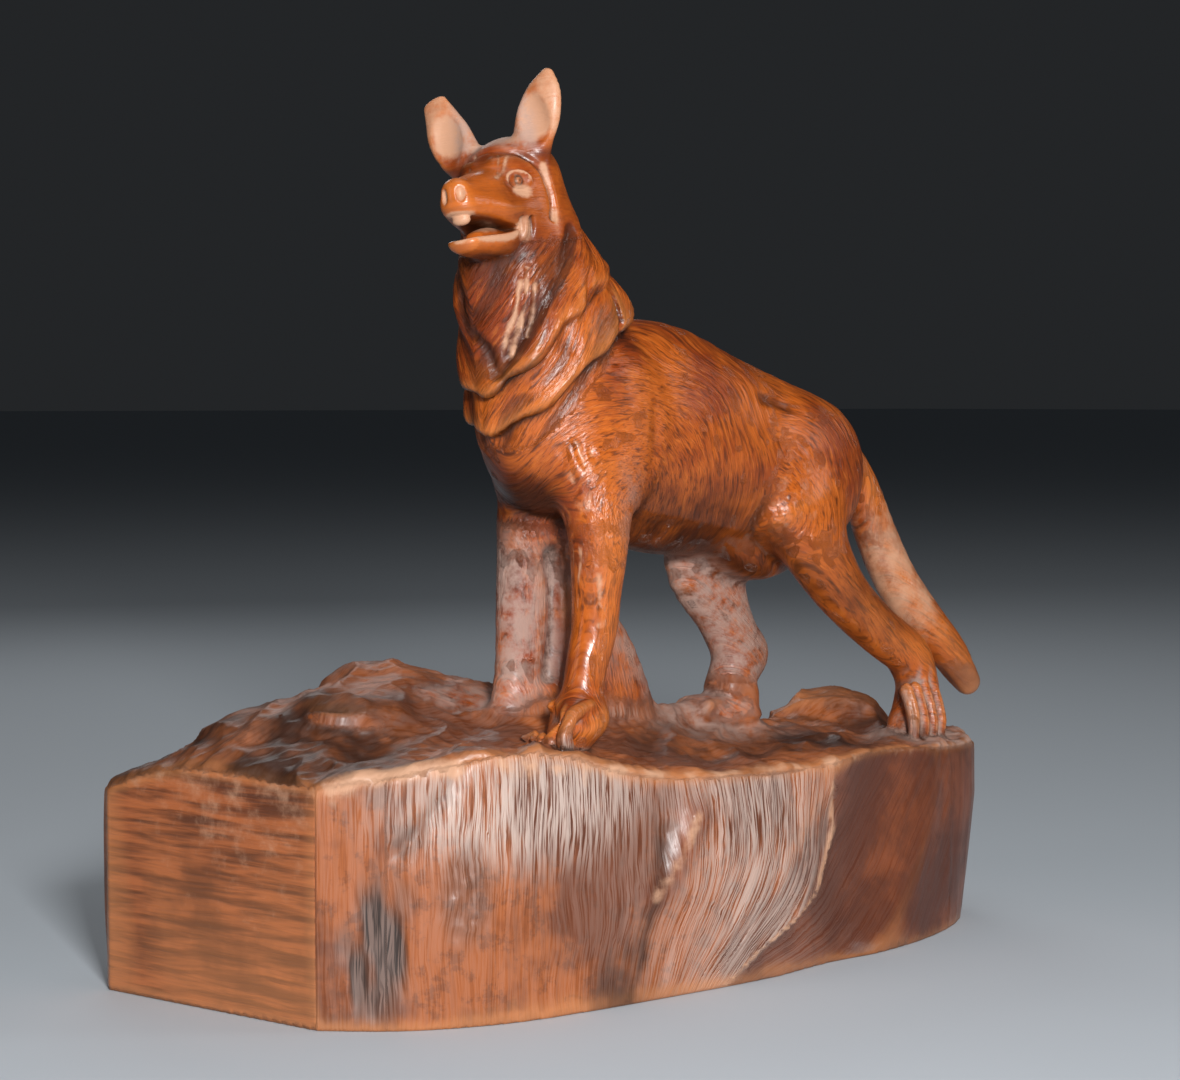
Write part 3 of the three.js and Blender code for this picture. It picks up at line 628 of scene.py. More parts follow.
def surface():
    """The field's zero surface: one vertex in each crossed cell, one quad across each crossed edge"""
    inside = field < 0
    shape = [n - 1 for n in field.shape]
    count = np.zeros(shape, np.uint8)
    for a, b, c in CORNERS:
        count += inside[a:shape[0] + a, b:shape[1] + b, c:shape[2] + c]
    crossed = (count > 0) & (count < 8)
    cells = np.argwhere(crossed)
    index = np.full(shape, -1, np.int32)
    index[crossed] = np.arange(len(cells))
    values = np.stack([field[tuple((cells + corner).T)] for corner in CORNERS], 1)
    total = np.zeros((len(cells), 3))
    crossings = np.zeros(len(cells))
    for p, q in CELL_EDGES:
        cut = (values[:, p] < 0) != (values[:, q] < 0)
        t = values[cut, p] / (values[cut, p] - values[cut, q])
        total[cut] += CORNERS[p] + (CORNERS[q] - CORNERS[p]) * t[:, None]
        crossings[cut] += 1
    share = total / crossings[:, None]
    points = np.empty_like(share)
    for k in range(3):
        low = TICKS[k][cells[:, k]]
        points[:, k] = low + (TICKS[k][cells[:, k] + 1] - low) * share[:, k]
    quads = []
    for k in range(3):
        step = np.eye(3, dtype=int)[k]
        sides = [np.eye(3, dtype=int)[(k + 1) % 3], np.eye(3, dtype=int)[(k + 2) % 3]]
        here = inside[:-1, :-1, :-1]
        there = inside[tuple(slice(s, n + s) for s, n in zip(step, shape))]
        edges = np.argwhere(here != there)
        edges = edges[(edges @ sides[0] > 0) & (edges @ sides[1] > 0)]
        out = here[tuple(edges.T)]
        moves = (-sides[0] - sides[1], -sides[1], 0 * step, -sides[0])
        ring = np.stack([index[tuple((edges + move).T)] for move in moves], 1)
        ring[~out] = ring[~out][:, ::-1]
        quads.append(ring)
    return points, np.concatenate(quads)


def biggest_shell(points, quads):
    """The mesh without the walls of sealed hollows and loose bits"""
    label = np.arange(len(points))
    while True:
        low = label[quads].min(1)
        lower = label.copy()
        for k in range(4):
            np.minimum.at(lower, quads[:, k], low)
        lower = lower[lower]
        if (lower == label).all():
            break
        label = lower
    names, sizes = np.unique(label[quads[:, 0]], return_counts=True)
    quads = quads[label[quads[:, 0]] == names[sizes.argmax()]]
    used, quads = np.unique(quads, return_inverse=True)
    return points[used], quads.reshape(-1, 4)


def point_normals(points, quads):
    """The directions that the surface faces at its points"""
    a, b, c, d = (points[quads[:, k]] for k in range(4))
    faces = np.cross(c - a, d - b)
    normals = np.zeros_like(points)
    for k in range(4):
        for m in range(3):
            normals[:, m] += np.bincount(quads[:, k], faces[:, m], len(points))
    return normals / np.maximum(np.linalg.norm(normals, axis=1), 1e-9)[:, None]


def eased(values, quads, rounds, share):
    """Values at the mesh's points, drawn towards their neighbours' mean"""
    ends = np.concatenate([quads, np.roll(quads, -1, 1)]).reshape(-1)
    others = np.concatenate([np.roll(quads, -1, 1), quads]).reshape(-1)
    count = np.bincount(ends, minlength=len(values))
    values = values.reshape(len(values), -1)
    for _ in range(rounds):
        sums = np.stack([np.bincount(ends, v[others], len(values)) for v in values.T], 1)
        values = values + share * (sums / count[:, None] - values)
    return values


shape_rock()
shape_trunk()
shape_legs()
shape_head()
shape_folds()
shape_rock_top()
# The underside is planed flat.
field[:] = np.maximum(field, -TICKS[2][None, None, :])

points, quads = biggest_shell(*surface())
points = eased(points, quads, 1, 0.3)


# Tool marks

def hills(places, size, seed):
    """Smooth random hills from about -1 to 1, about size apart"""
    waves = 14
    rng = np.random.default_rng(seed)
    directions = rng.normal(size=(waves, 3))
    directions *= (2 * math.pi / size) / np.linalg.norm(directions, axis=1)[:, None]
    directions *= rng.uniform(0.6, 1.4, waves)[:, None]
    phases = rng.uniform(0, 2 * math.pi, waves)
    total = sum(np.sin(places @ d + p) for d, p in zip(directions, phases))
    return total / math.sqrt(waves)


def fade(value, low, high):
    """0 below low, 1 above high, smooth between"""
    t = np.clip((value - low) / (high - low), 0, 1)
    return t * t * (3 - 2 * t)


def in_frame(matrix, places):
    """Places in a frame's own coordinates, for rows of points"""
    m = np.array(matrix.inverted())
    return places @ m[:3, :3].T + m[:3, 3]


def gouges(phase):
    """Rows of scooped cuts with sharp ridges between them, for a phase in cuts"""
    return np.abs(np.sin(math.pi * phase)) ** 0.7 - 0.6


def beside(places, width, *line):
    """1 on a smooth line through points, falling to 0 beside it"""
    chain = smooth_chain(line)
    near = ((places > np.min(chain, 0) - 3 * width) & (places < np.max(chain, 0) + 3 * width)).all(1)
    some = places[near]
    least = np.full(len(some), FAR)
    for start, end in zip(chain, chain[1:]):
        run = end - start
        t = np.clip((some - start) @ run / (run @ run), 0, 1)
        least = np.minimum(least, np.linalg.norm(some - start - t[:, None] * run, axis=1))
    values = np.zeros(len(places))
    values[near] = np.exp(-((least / width) ** 2))
    return values


def spot(places, centre, halves, soft=0.5):
    """1 inside an ellipsoid and 0 outside, with a soft rim"""
    reach = np.linalg.norm((places - centre) / halves, axis=1)
    return 1 - fade(reach, 1 - soft, 1 + soft)


# Places on the carving, and which part of it each point belongs to
normals = point_normals(points, quads)
body = in_frame(body_frame, points)
head = in_frame(head_frame, points)
x, y, z = points.T
u, v, w = body.T
up = normals[:, 2]
forward = -(normals @ np.array(body_frame.to_3x3()))[:, 0]  # how far a point faces the wolf's front

on_rock = np.maximum.reduce([
    1 - fade(w + 2 * hills(points, 30, 1), 84, 92),
    fade(-u, 14, 20) * (1 - fade(w, 104, 112)),
    fade(v, 30, 36) * (1 - fade(w, 100, 108)),
])
paws = np.maximum.reduce([
    spot(body, (2, -21.5, 87), (17, 12, 9), 0.2),
    spot(body, (168, -22, 78), (14, 12, 15), 0.2),
    spot(body, (102, 15, 79), (16, 11, 7), 0.2),
])
on_rock *= 1 - paws
from_skull = np.linalg.norm(head - (2, 0, -5), axis=1)
on_head = np.maximum.reduce([
    (1 - fade(from_skull, 24, 32)) * fade(head[:, 2], -24, -17),
    fade(head[:, 2], 8, 12) * (1 - fade(from_skull, 46, 54)),
    fade(head[:, 0], 8, 12) * fade(head[:, 2], -26, -22),
])
on_ruff = (1 - on_head) * fade(w - 173 - 1.2 * np.maximum(u + 8, 0), -6, 2)
on_body = (1 - on_head) * (1 - on_ruff) * (1 - on_rock)
on_haunch = fade(u, 84, 104)
on_leg = 1 - fade(w, 128, 145)

# Where the strokes of the coat run: down the ruff to the chest, and in arcs over flank and haunch
wander = hills(points, 34, 2)


def arcs(centre, spread):
    """Distances across and along arcs round a centre on the body's side"""
    out, rise = u - centre[0], w - centre[1]
    return np.hypot(out, rise) + 2 * wander, np.arctan2(rise, out) * spread


round_neck = np.arctan2(np.abs(v), 6 - u)
ruff_across = round_neck * 24 - 0.75 * (w - 200) + 1.2 * wander
flank_across, flank_along = arcs(FLANK_CENTRE, 40)
haunch_across, haunch_along = arcs(HAUNCH_CENTRE, 30)
leg_across = np.where(u > 60, (u + 1.2 * w) / 1.5 + 0.6 * v, u + 0.8 * v)

# The gouges of the coat
broken = 0.3 + 0.7 * fade(hills(points, 15, 3), -0.5, 0.7)
body_row = gouges(flank_across / FLANK_ROW) * (1 - on_haunch)
body_row += gouges(haunch_across / HAUNCH_ROW) * on_haunch
body_row = body_row * (1 - on_leg) + 0.5 * gouges(leg_across / LEG_ROW) * on_leg
ruff_row = RUFF_CUT * gouges(ruff_across / RUFF_ROW) * broken
relief = on_ruff * (ruff_row + RUFF_WAVE * np.cos(ruff_across / 2.6 + wander))
relief += COAT_CUT * on_body * body_row * broken

# The fold above the ruff's upper hem, the V on the chest, and three bright locks
fold = beside(body, 2.4, (5, -18, 238), (-3, -21, 223), (-13, -17, 208), (-18, -10, 194))
chest_v = beside(body, 2, (-20, 7, 217), (-20, 3, 208), (-19.5, -4, 203), (-19, -8, 194))
locks = np.maximum.reduce([
    beside(body, 1.2, (-14.6, -15.2, 222), (-15.4, -14.4, 214), (-17, -11.8, 206), (-18, -10.3, 201)),
    beside(body, 1.2, (-12.6, -16.6, 226), (-13.3, -16.4, 217), (-14.8, -14.6, 208), (-17, -12, 200)),
    beside(body, 1.2, (-10.6, -18, 222), (-11.4, -17.8, 214), (-13, -16.4, 206)),
])
locks *= 0.55 + 0.45 * fade(hills(points, 6, 13), -0.5, 0.5)
roll = beside(body, 4, (13, -20, 229), (2, -22, 217), (-6, -21, 205), (-12, -16, 192))
relief += ROLL_HEIGHT * roll - FOLD_DEPTH * fold - CHEST_V_DEPTH * chest_v - LOCK_DEPTH * locks

# The slit of the hip, and long gouges down the near shoulder and foreleg
hip = beside(body, 2.2, (90, -18.6, 186.6), (97, -17.5, 185.2), (103, -17.7, 183.6))
shoulder = np.maximum.reduce([
    beside(body, 1.3, (-1, -18, 172), (1, -20, 165), (3, -21.5, 158)),
    beside(body, 1.3, (3, -21, 173), (5, -23.5, 165), (6, -24.5, 156), (5, -24, 150)),
    beside(body, 1.3, (7, -24, 170), (9, -25.5, 162), (8.5, -26, 154)),
    beside(body, 1.3, (5, -25, 144), (4, -25, 134), (6, -25, 122), (5, -25, 112)),
    beside(body, 1.3, (8, -26, 138), (8.5, -26.5, 126), (8, -26.5, 116)),
])
shoulder *= 0.4 + 0.6 * fade(hills(points, 8, 14), -0.5, 0.5)
below_flank = fade(-v, 4, 10) * fade(u, 26, 36) * (1 - fade(u, 88, 100))
over_belly = w - 157 + 0.16 * u
belly_edge = np.exp(-((over_belly / 2.2) ** 2)) * below_flank
relief += BELLY_EDGE_HEIGHT * belly_edge - HIP_DEPTH * hip - SHOULDER_CUT * shoulder

# Toes over the rock's edge
toes = spot(body, (TOE_MIDDLE, -25, 76), (12, 9, 15), 0.3)
first_toe = TOE_MIDDLE + LANES[0] * TOE_PITCH
between_toes = np.cos((u - first_toe) * 2 * math.pi / TOE_PITCH)
relief += TOE_HEIGHT * toes * between_toes

# The face: iris and lids on each side, and the lines of the brow
eye_lines, lids, lid_light = np.zeros((3, len(points)))
for side in (1, -1):
    from_eye = (head - (9.8, side * 10.8, -1.7)) * (1, side, 1)
    back = from_eye @ (-0.92, 0.38, 0)
    rise = from_eye[:, 2]
    on_eye = 1 - fade(np.abs(from_eye @ (0.38, 0.92, 0)), 3, 4)
    reach = np.hypot(back, rise)
    lid = np.exp(-(((np.hypot(back / 4.4, rise / 3) - 1) / 0.13) ** 2)) * on_eye
    eye_lines += (np.exp(-(((reach - 1.6) / 0.42) ** 2)) + np.exp(-((reach / 0.5) ** 2))) * on_eye
    lids += lid
    lid_light += lid * fade(rise, -2, 1)
brow_lines = np.maximum.reduce([
    beside(head, 1, (18, 7, -0.8), (13, 7.5, 2), (11, 7.4, 4.5), (8.4, 7.4, 6.6)),
    beside(head, 0.8, (15.4, 6.6, 1), (12.4, 5.8, 4.4), (9, 4.6, 7.4)),
    beside(head, 0.8, (13.3, -3.8, 3.8), (9, -5, 7), (5.5, -5.4, 9)),
])
relief += on_head * (LID_HEIGHT * lids - IRIS_DEPTH * eye_lines - BROW_CUT * brow_lines)

# The rock: chopped facets on top, and lumps and fibres down the walls
top_side = fade(up, 0.25, 0.6)
chopped = 1.1 - np.abs(hills(points, 22, 4)) * 1.9 - np.abs(hills(points, 9, 5)) * 0.5
end_face = fade(-normals[:, 0], 0.8, 0.93)
walls = on_rock * (1 - top_side) * (1 - end_face)
near_wall = walls * fade(-y, 10, 30)
on_swell = np.exp(-(((x - 8) / 40) ** 2)) * near_wall
rim_x = np.interp(z, *zip((0, -7), (10, 9), (25, 39), (44, 48), (60, 43)))
on_hollow = fade(x - rim_x, 0, 5) * near_wall
bend = np.maximum(48 - z, 0) ** 2 / 60 * on_swell
wall_across = x + bend - 0.75 * (z - 50) * on_hollow + 0.7 * hills(points, 26, 6)
wall_across = np.where(np.abs(y) > np.abs(x) * 0.4, wall_across, y)
stretched = np.stack([wall_across, y * 0.3, z * 0.1], 1)
fibres = hills(stretched, 7, 6) * 0.35 + hills(stretched, 2.8, 7) * 0.28
lumpy = hills(points * (1, 1, 0.5), 42, 8) * 0.8
fibre_depth = 0.4 + 0.6 * fade(x, -60, -10) - 0.7 * on_hollow
relief += on_rock * top_side * chopped + walls * (fibres * fibre_depth + lumpy)

# The near wall's marks: crease, knot, rough patch, crack, glossy bulge, and the swell's ragged rim
crease = beside(points, 3, (-104, -59, 78), (-108, -58, 70), (-120, -52, 53))
splinters = 2 * hills(points * (1, 1, 0.2), 5, 9)[:, None] * (1, 0, 1)
knot = spot(points + splinters, (-125, -48, 25), (7, 16, 20), 0.4)
rough_patch = spot(points, (-102, -60, 40), (8, 14, 15), 0.4)
crack = beside(points, 3.6, (-31, -68, 52), (-36, -68, 32), (-40, -67, 12), (-46, -67, 0))
bulge = beside(points, 5, (-20, -68, 56), (-28, -68, 43), (-36, -68, 33))
rim = np.exp(-(((x - rim_x) / 2) ** 2)) * near_wall * (1 - fade(z, 58, 66))
relief += BULGE_HEIGHT * bulge + RIM_HEIGHT * rim
relief -= CREASE_DEPTH * crease + KNOT_DEPTH * knot + CRACK_DEPTH * crack
relief += ROUGH_HEIGHT * rough_patch * hills(points, 4, 10)
relief *= fade(z, 0.5, 5)

hollow = ((eased(points, quads, 40, 0.9) - points) * normals).sum(1)
points = points + normals * relief[:, None]

# The origin is below the middle of the carving's box.
middle = (points.min(0) + points.max(0)) / 2
middle[2] = 0

mesh = bpy.data.meshes.new("boxwood_wolf")
mesh.vertices.add(len(points))
mesh.vertices.foreach_set("co", ((points - middle) / 1000).astype(np.float32).ravel())
mesh.loops.add(quads.size)
mesh.loops.foreach_set("vertex_index", quads.astype(np.int32).ravel())
mesh.polygons.add(len(quads))
mesh.polygons.foreach_set("loop_start", np.arange(0, quads.size, 4, dtype=np.int32))
mesh.update(calc_edges=True)
mesh.shade_smooth()


def paint(name, values):
    """A number at every point of the mesh, for the material to read"""
    attribute = mesh.attributes.new(name, "FLOAT", "POINT")
    attribute.data.foreach_set("value", np.asarray(values, np.float32))


def paint_flow(across, along):
    """The two distances that strokes are drawn by, across and along them"""
    attribute = mesh.attributes.new("flow", "FLOAT_VECTOR", "POINT")
    places = np.stack([across, along, np.zeros_like(across)], 1)
    attribute.data.foreach_set("vector", places.astype(np.float32).ravel())


# Where grey dust lies: far legs, stump, crown, between the toes and on the flat rock behind
low_hollow = (1 - on_rock) * (1 - fade(w, 92, 112)) * fade(hollow, 0.15, 0.8)
far_legs = fade(v, -2, 6) * fade(150 - w, 0, 16) * (1 - on_rock)
crown = on_head * fade(head[:, 2], 7, 10) * fade(6 - head[:, 0], -1, 3)
crown *= 1 - fade(np.abs(head[:, 1]), 12, 16)
back_flat = on_rock * top_side * np.maximum(
    fade(x, 92, 110) * fade(-y, 5, 25),
    0.8 * spot(points, (25, -5, 78), (55, 16, 14)),
)
axilla = spot(body, (22, -20, 150), (8, 12, 18))
toe_gaps = toes * fade(-between_toes, 0, 0.8)
dust = np.maximum.reduce([low_hollow, toe_gaps, far_legs, crown * 0.9, back_flat, axilla * 0.5])

# Where the colour is pale: wear on the ears, face, locks and the rock's edges, and painted highlights on
# the locks, shoulder, foreleg, haunch, tail and the wall's bulge
ears = fade(head[:, 2], 7, 15) * (1 - fade(from_skull, 42, 50)) * fade(head[:, 0], -7, -2)
ears *= 0.5 + 0.35 * fade(hollow, -0.4, 0.2)
under_eye = 0.7 * spot(head, (9.5, 11, -5.6), (4.6, 3, 2), 0.6)
under_eye += 0.3 * spot(head, (9.8, 10.8, -1.8), (4, 3, 3))
nostrils = spot(head, (33.5, 2.6, -6), (3, 1.5, 2.8)) + spot(head, (33.5, -2.8, -6), (3, 1.3, 2.8))
lip_line = [(36, -4, -19.4), (31, 4.5, -19.6), (22, 8, -19.5), (15, 9, -18.5), (11, 9.5, -15)]
mouth = beside(head, 1.3, *lip_line)
cheek = spot(head, (9, 10, -16.5), (3.2, 4, 4.5), 0.4)
behind_mask = beside(head, 1.4, (-0.5, 14.4, 3), (-1.5, 15.3, -4), (-2, 15.3, -12), (-2, 14, -19))
tongue = spot(head, (21, 1, -15.5), (9, 4.6, 2.6))
teeth = spot(head, (32, 0, -13), (4, 5, 2.4), 0.3)
# painted highlight on the near side of the tail
tail = spot(body, (176, -6, 124), (22, 14, 36)) * fade(-v, -2, 3)
worn_face = np.maximum.reduce([
    under_eye,
    nostrils * 0.7,
    mouth,
    cheek * 0.5,
    behind_mask * 0.8,
    tongue * 0.55,
    teeth,
    brow_lines * 0.55,
    lid_light * 0.8,
])
end_marks = on_rock * end_face * 0.3 * np.maximum(
    fade(z + 2 * hills(points, 9, 12), 64, 68),
    2 * beside(points, 1, (-159.5, 40, 62), (-159.5, 40.4, 30), (-159.5, 40, 3)),
)
lip_of_rock = beside(points, 3.5, (-134, -38, 72), (-124, -46, 76), (-104, -58, 77))
crest_wear = 0.3 + 0.4 * fade(hills(points, 12, 11), -0.4, 0.8)
crest_line = [(-90, -63, 78), (-60, -66, 74), (-20, -67, 70), (40, -63, 68), (90, -54, 66)]
crest = crest_wear * beside(points, 3, *crest_line)
# painted highlights: silver streaks down the foreleg and a patch on the haunch's front
foreleg = spot(body, (5, -22, 128), (8, 8, 32), 0.4)
highlight_streaks = fade(np.cos(2.2 * leg_across + 2 * wander), 0.3, 0.9) * fade(hills(points, 10, 19), -0.3, 0.4)
haunch_front = spot(body, (102, -24, 158), (12, 10, 18), 0.4)
wear_and_highlight = np.maximum.reduce([
    ears,
    worn_face * on_head,
    # painted highlights along the locks (over some wear), the shoulder's gouges, the foreleg and the
    # haunch's front
    locks * 0.75,
    shoulder * 0.45,
    foreleg * highlight_streaks * 0.5,
    haunch_front * fade(hills(points, 7, 20), -0.1, 0.8) * 0.3,
    # painted highlight on the tail
    tail * 0.5,
    lip_of_rock * 0.8,
    crest,
    toes * fade(between_toes, 0, 1) * 0.35,
    rim * 0.6,
    # painted highlight on the core of the wall's bulge
    bulge ** 3 * 0.5,
    end_marks,
])

# Where the colour is dark: patina in the folds, the scoop, the crack and the smooth hollow, and painted
# shade on the chest, under the jaw, inside the mouth and on the undersides
# painted shade where the chest faces forward
chest_shade = on_body * fade(forward, 0.35, 0.8) * fade(v + 8, 0, 10) * fade(w, 118, 135)
# painted shadow under the jaw
throat_shadow = spot(body, (-13, -2, 232), (15, 17, 12))
scoop = on_rock * top_side * spot(points, (40, -32, 70), (62, 22, 14), 0.3)
far_left = on_rock * top_side * fade(-x, 75, 115)
# painted shade inside the open mouth
mouth_shade = spot(head, (20, 0, -15), (14, 7.5, 3), 0.3)
# painted shade, over some darker patina, on surfaces that face down
underside_shade = fade(-up, 0.1, 0.7) * fade(w, 105, 120) * (1 - on_head)
snout = spot(head, (22, 3, -4), (13, 11, 7))
jowl = spot(head, (10, 11, -11), (11, 9, 8), 0.6)
forehead = fade(head[:, 2], 2, 7) * fade(9 - head[:, 2], 0, 2)
foot_of_crack = spot(points + splinters, (-46, -66, 6), (13, 10, 11))
shank = spot(body, (138, -20, 112), (24, 14, 22), 0.4)
patina_and_shade = np.maximum.reduce([
    chest_shade * 0.65,
    throat_shadow * 0.8,
    scoop * 0.8,
    far_left * 0.9,
    mouth_shade,
    fold * 0.7,
    chest_v * 0.8,
    underside_shade * 0.95,
    shank * 0.6,
    hip * 0.35,
    # painted shade, over some darker patina, on the belly below its edge
    fade(-over_belly, 2, 12) * fade(w, 128, 136) * below_flank * 0.6,
    on_head * snout * 0.5,
    on_head * jowl * 0.4,
    on_head * forehead * 0.5,
    eye_lines * on_head,
    crease * 0.6,
    crack * 0.9,
    foot_of_crack * 0.7,
    on_hollow * np.maximum(0.45, 0.5 * fade(hills(stretched, 16, 15), -0.6, 0.8)),
])

# What the material reads: how far each kind of colour reaches, and the flow of the strokes
paint("dust", np.clip(dust, 0, 1))
paint("wear_and_highlight", np.clip(wear_and_highlight, 0, 1))
paint("patina_and_shade", np.clip(patina_and_shade, 0, 1))
paint("hollow", np.clip(hollow / 1.6, -1, 1))
coat_relief = relief + LOCK_DEPTH * locks + SHOULDER_CUT * shoulder
paint("ridge", np.clip(coat_relief / 0.6, -1, 1))
paint("rock", on_rock)
paint("face", on_head)
paint("end", on_rock * end_face)
paint("grey", near_wall * np.maximum(spot(points, (-80, -60, 66), (42, 40, 18)), on_swell * 0.8))
paint("knot", np.maximum(knot, rough_patch * 0.5))
paint("smooth", np.maximum.reduce([on_hollow, bulge, locks, shoulder, foreleg, haunch_front, tail]))

# The strokes run differently on each kind of surface, with ragged borders inside the coat.
tufts = 0.35 * hills(points, 5, 18)
kinds = [
    on_rock * end_face > 0.5,
    on_rock * top_side > 0.5,
    on_rock > 0.5,
    on_head > 0.5,
    on_ruff > 0.5,
    on_leg + tufts > 0.5,
    on_haunch + tufts > 0.5,
]
acrosses = [z / 2.6, y / 1.4, wall_across / 1.2, head[:, 2], ruff_across, leg_across, haunch_across]
alongs = [y / 5, x / 2, z / 5, head[:, 0], w, w, haunch_along]
paint_flow(np.select(kinds, acrosses, flank_across), np.select(kinds, alongs, flank_along))

wolf = bpy.data.objects.new("boxwood_wolf", mesh)
bpy.context.scene.collection.objects.link(wolf)
bpy.context.view_layer.objects.active = wolf
thinner = wolf.modifiers.new("thinner", "DECIMATE")
thinner.ratio = min(1, TARGET_TRIANGLES / (2 * len(quads)))
bpy.ops.object.modifier_apply(modifier="thinner")

# Material

material = bpy.data.materials.new("boxwood")
material.use_nodes = True
nodes = material.node_tree.nodes
links = material.node_tree.links
nodes.clear()

# Colours of the coat
orange = (0.49, 0.105, 0.011, 1)
light_orange = (0.62, 0.165, 0.025, 1)
rubbed_highlight_orange = (0.72, 0.25, 0.06, 1)
red_brown = (0.24, 0.036, 0.004, 1)
deep_brown = (0.06, 0.013, 0.004, 1)
black_brown = (0.016, 0.006, 0.003, 1)

# Colours of the rock
rock_orange = (0.37, 0.1, 0.024, 1)
rock_brown = (0.15, 0.037, 0.01, 1)
blotch_brown = (0.1, 0.028, 0.01, 1)
polished_brown = (0.17, 0.034, 0.01, 1)
rubbed_highlight_edge = (0.6, 0.24, 0.09, 1)
silver_fibre = (0.55, 0.42, 0.36, 1)
end_light = (0.42, 0.115, 0.034, 1)
end_dark = (0.1, 0.025, 0.008, 1)
knot_grey = (0.17, 0.11, 0.09, 1)
knot_black = (0.03, 0.018, 0.014, 1)

# Colours of wear, painted highlights and dust
pale_wear_and_highlight = (0.6, 0.33, 0.2, 1)
grey_dust = (0.4, 0.26, 0.21, 1)


def node(kind, sockets, **settings):
    """A new shader node with its settings, its sockets set to values or linked to other sockets"""
    made = nodes.new("ShaderNode" + kind)
    for name, value in settings.items():
        setattr(made, name, value)
    for socket, value in sockets.items():
        if isinstance(value, bpy.types.NodeSocket):
            links.new(value, made.inputs[socket])
        else:
            made.inputs[socket].default_value = value
    return made


def math_node(operation, a, b, clamp=False):
    return node("Math", {0: a, 1: b}, operation=operation, use_clamp=clamp).outputs[0]


def times(*values):
    product = values[0]
    for value in values[1:]:
        product = math_node("MULTIPLY", product, value)
    return product


def plus(*values):
    total = values[0]
    for value in values[1:]:
        total = math_node("ADD", total, value)
    return total


def mix(factor, a, b):
    """A colour carried from a to b"""
    return node("Mix", {0: factor, 6: a, 7: b}, data_type="RGBA").outputs[2]


def between(factor, a, b):
    """A number carried from a to b"""
    return node("Mix", {0: factor, 2: a, 3: b}, data_type="FLOAT").outputs[0]


def noise(vector, scale, detail, roughness, distortion=0):
    sockets = {"Vector": vector, "Scale": scale, "Detail": detail}
    sockets.update({"Roughness": roughness, "Distortion": distortion})
    return node("TexNoise", sockets).outputs["Fac"]


def ramp(value, low, high):
    """Value carried from low..high to 0..1, smooth and held at the ends"""
    sockets = {"Value": value, "From Min": low, "From Max": high}
    return node("MapRange", sockets, interpolation_type="SMOOTHSTEP").outputs["Result"]


def painted(name, output="Fac"):
    """What is painted on the mesh under a name"""
    return node("Attribute", {}, attribute_name=name).outputs[output]


def strokes(width, length, detail):
    """Short strokes of a width and length in millimetres, along the painted flow"""
    scaled = node("Mapping", {"Vector": painted("flow", "Vector"), "Scale": (1 / width, 1 / length, 1)})
    return noise(scaled.outputs["Vector"], 1, detail, 0.6, 0.3)


# What the colours and the surface share
place = node("TexCoord", {}).outputs["Object"]
drifts = noise(place, 26, 4, 0.62)
ragged = noise(place, 150, 4, 0.7)
broad = strokes(1.2, 8, 3)
fine = strokes(0.5, 4, 2)
rock = painted("rock")
hollow_at = painted("hollow")
smooth_at = painted("smooth")
stroke_depth = math_node("SUBTRACT", 1, times(painted("face"), 0.7))
grained = math_node("MAXIMUM", math_node("MAXIMUM", painted("grey"), painted("end")), smooth_at)
grain_depth = between(grained, 0.35, 1)
# pale wear and painted highlights, broken up
wear_and_highlight_here = ramp(plus(painted("wear_and_highlight"), times(ragged, 0.9)), 0.62, 1.15)
dusty = times(painted("dust"), ramp(ragged, 0.28, 0.62))


def coat_colour():
    """Orange and red-brown drifts under dark strokes that follow the fur"""
    colour = mix(ramp(drifts, 0.4, 0.64), orange, red_brown)
    colour = mix(times(ramp(broad, 0.5, 0.68), stroke_depth, 0.75), colour, deep_brown)
    colour = mix(times(ramp(broad, 0.46, 0.34), stroke_depth, 0.4), colour, light_orange)
    colour = mix(times(ramp(fine, 0.52, 0.66), stroke_depth, 0.5), colour, deep_brown)
    colour = mix(times(ramp(painted("ridge"), -0.15, -0.8), 0.6), colour, deep_brown)
    colour = mix(times(ramp(hollow_at, 0.05, 0.6), 0.85), colour, black_brown)
    # paler on ridges: rubbed wear and a painted highlight
    return mix(times(ramp(hollow_at, -0.1, -0.6), 0.35), colour, rubbed_highlight_orange)


def end_colour():
    """Light and dark bands of grain on the planed end"""
    colour = mix(ramp(broad, 0.36, 0.66), end_light, end_dark)
    return mix(times(ramp(drifts, 0.48, 0.64), 0.55), colour, deep_brown)


def rock_colour():
    """Orange-brown wood under silver fibres, with the planed end, the polished hollow and the knot"""
    colour = mix(ramp(drifts, 0.42, 0.6), rock_orange, rock_brown)
    colour = mix(times(ramp(broad, 0.46, 0.7), grain_depth, 0.5), colour, deep_brown)
    colour = mix(times(ramp(ragged, 0.5, 0.64), 0.5), colour, blotch_brown)
    silver = times(ramp(fine, 0.38, 0.56), between(painted("grey"), 0.08, 0.9))
    colour = mix(silver, colour, silver_fibre)
    colour = mix(times(ramp(fine, 0.48, 0.3), grain_depth, 0.55), colour, deep_brown)
    colour = mix(painted("end"), colour, end_colour())
    colour = mix(times(smooth_at, 0.65), colour, polished_brown)
    colour = mix(painted("knot"), colour, mix(ramp(fine, 0.4, 0.6), knot_black, knot_grey))
    colour = mix(times(ramp(hollow_at, 0.1, 0.7), 0.8), colour, black_brown)
    # paler on ridges: rubbed wear and a painted highlight
    return mix(times(ramp(hollow_at, -0.15, -0.7), 0.5), colour, rubbed_highlight_edge)


def weathered(colour):
    """Dark patina and painted shade, pale wear and painted highlights, and grey-pink dust"""
    colour = mix(times(painted("patina_and_shade"), ramp(drifts, 0.25, 0.6), 0.9), colour, black_brown)
    colour = mix(times(wear_and_highlight_here, 0.85), colour, pale_wear_and_highlight)
    return mix(times(dusty, 0.85), colour, grey_dust)


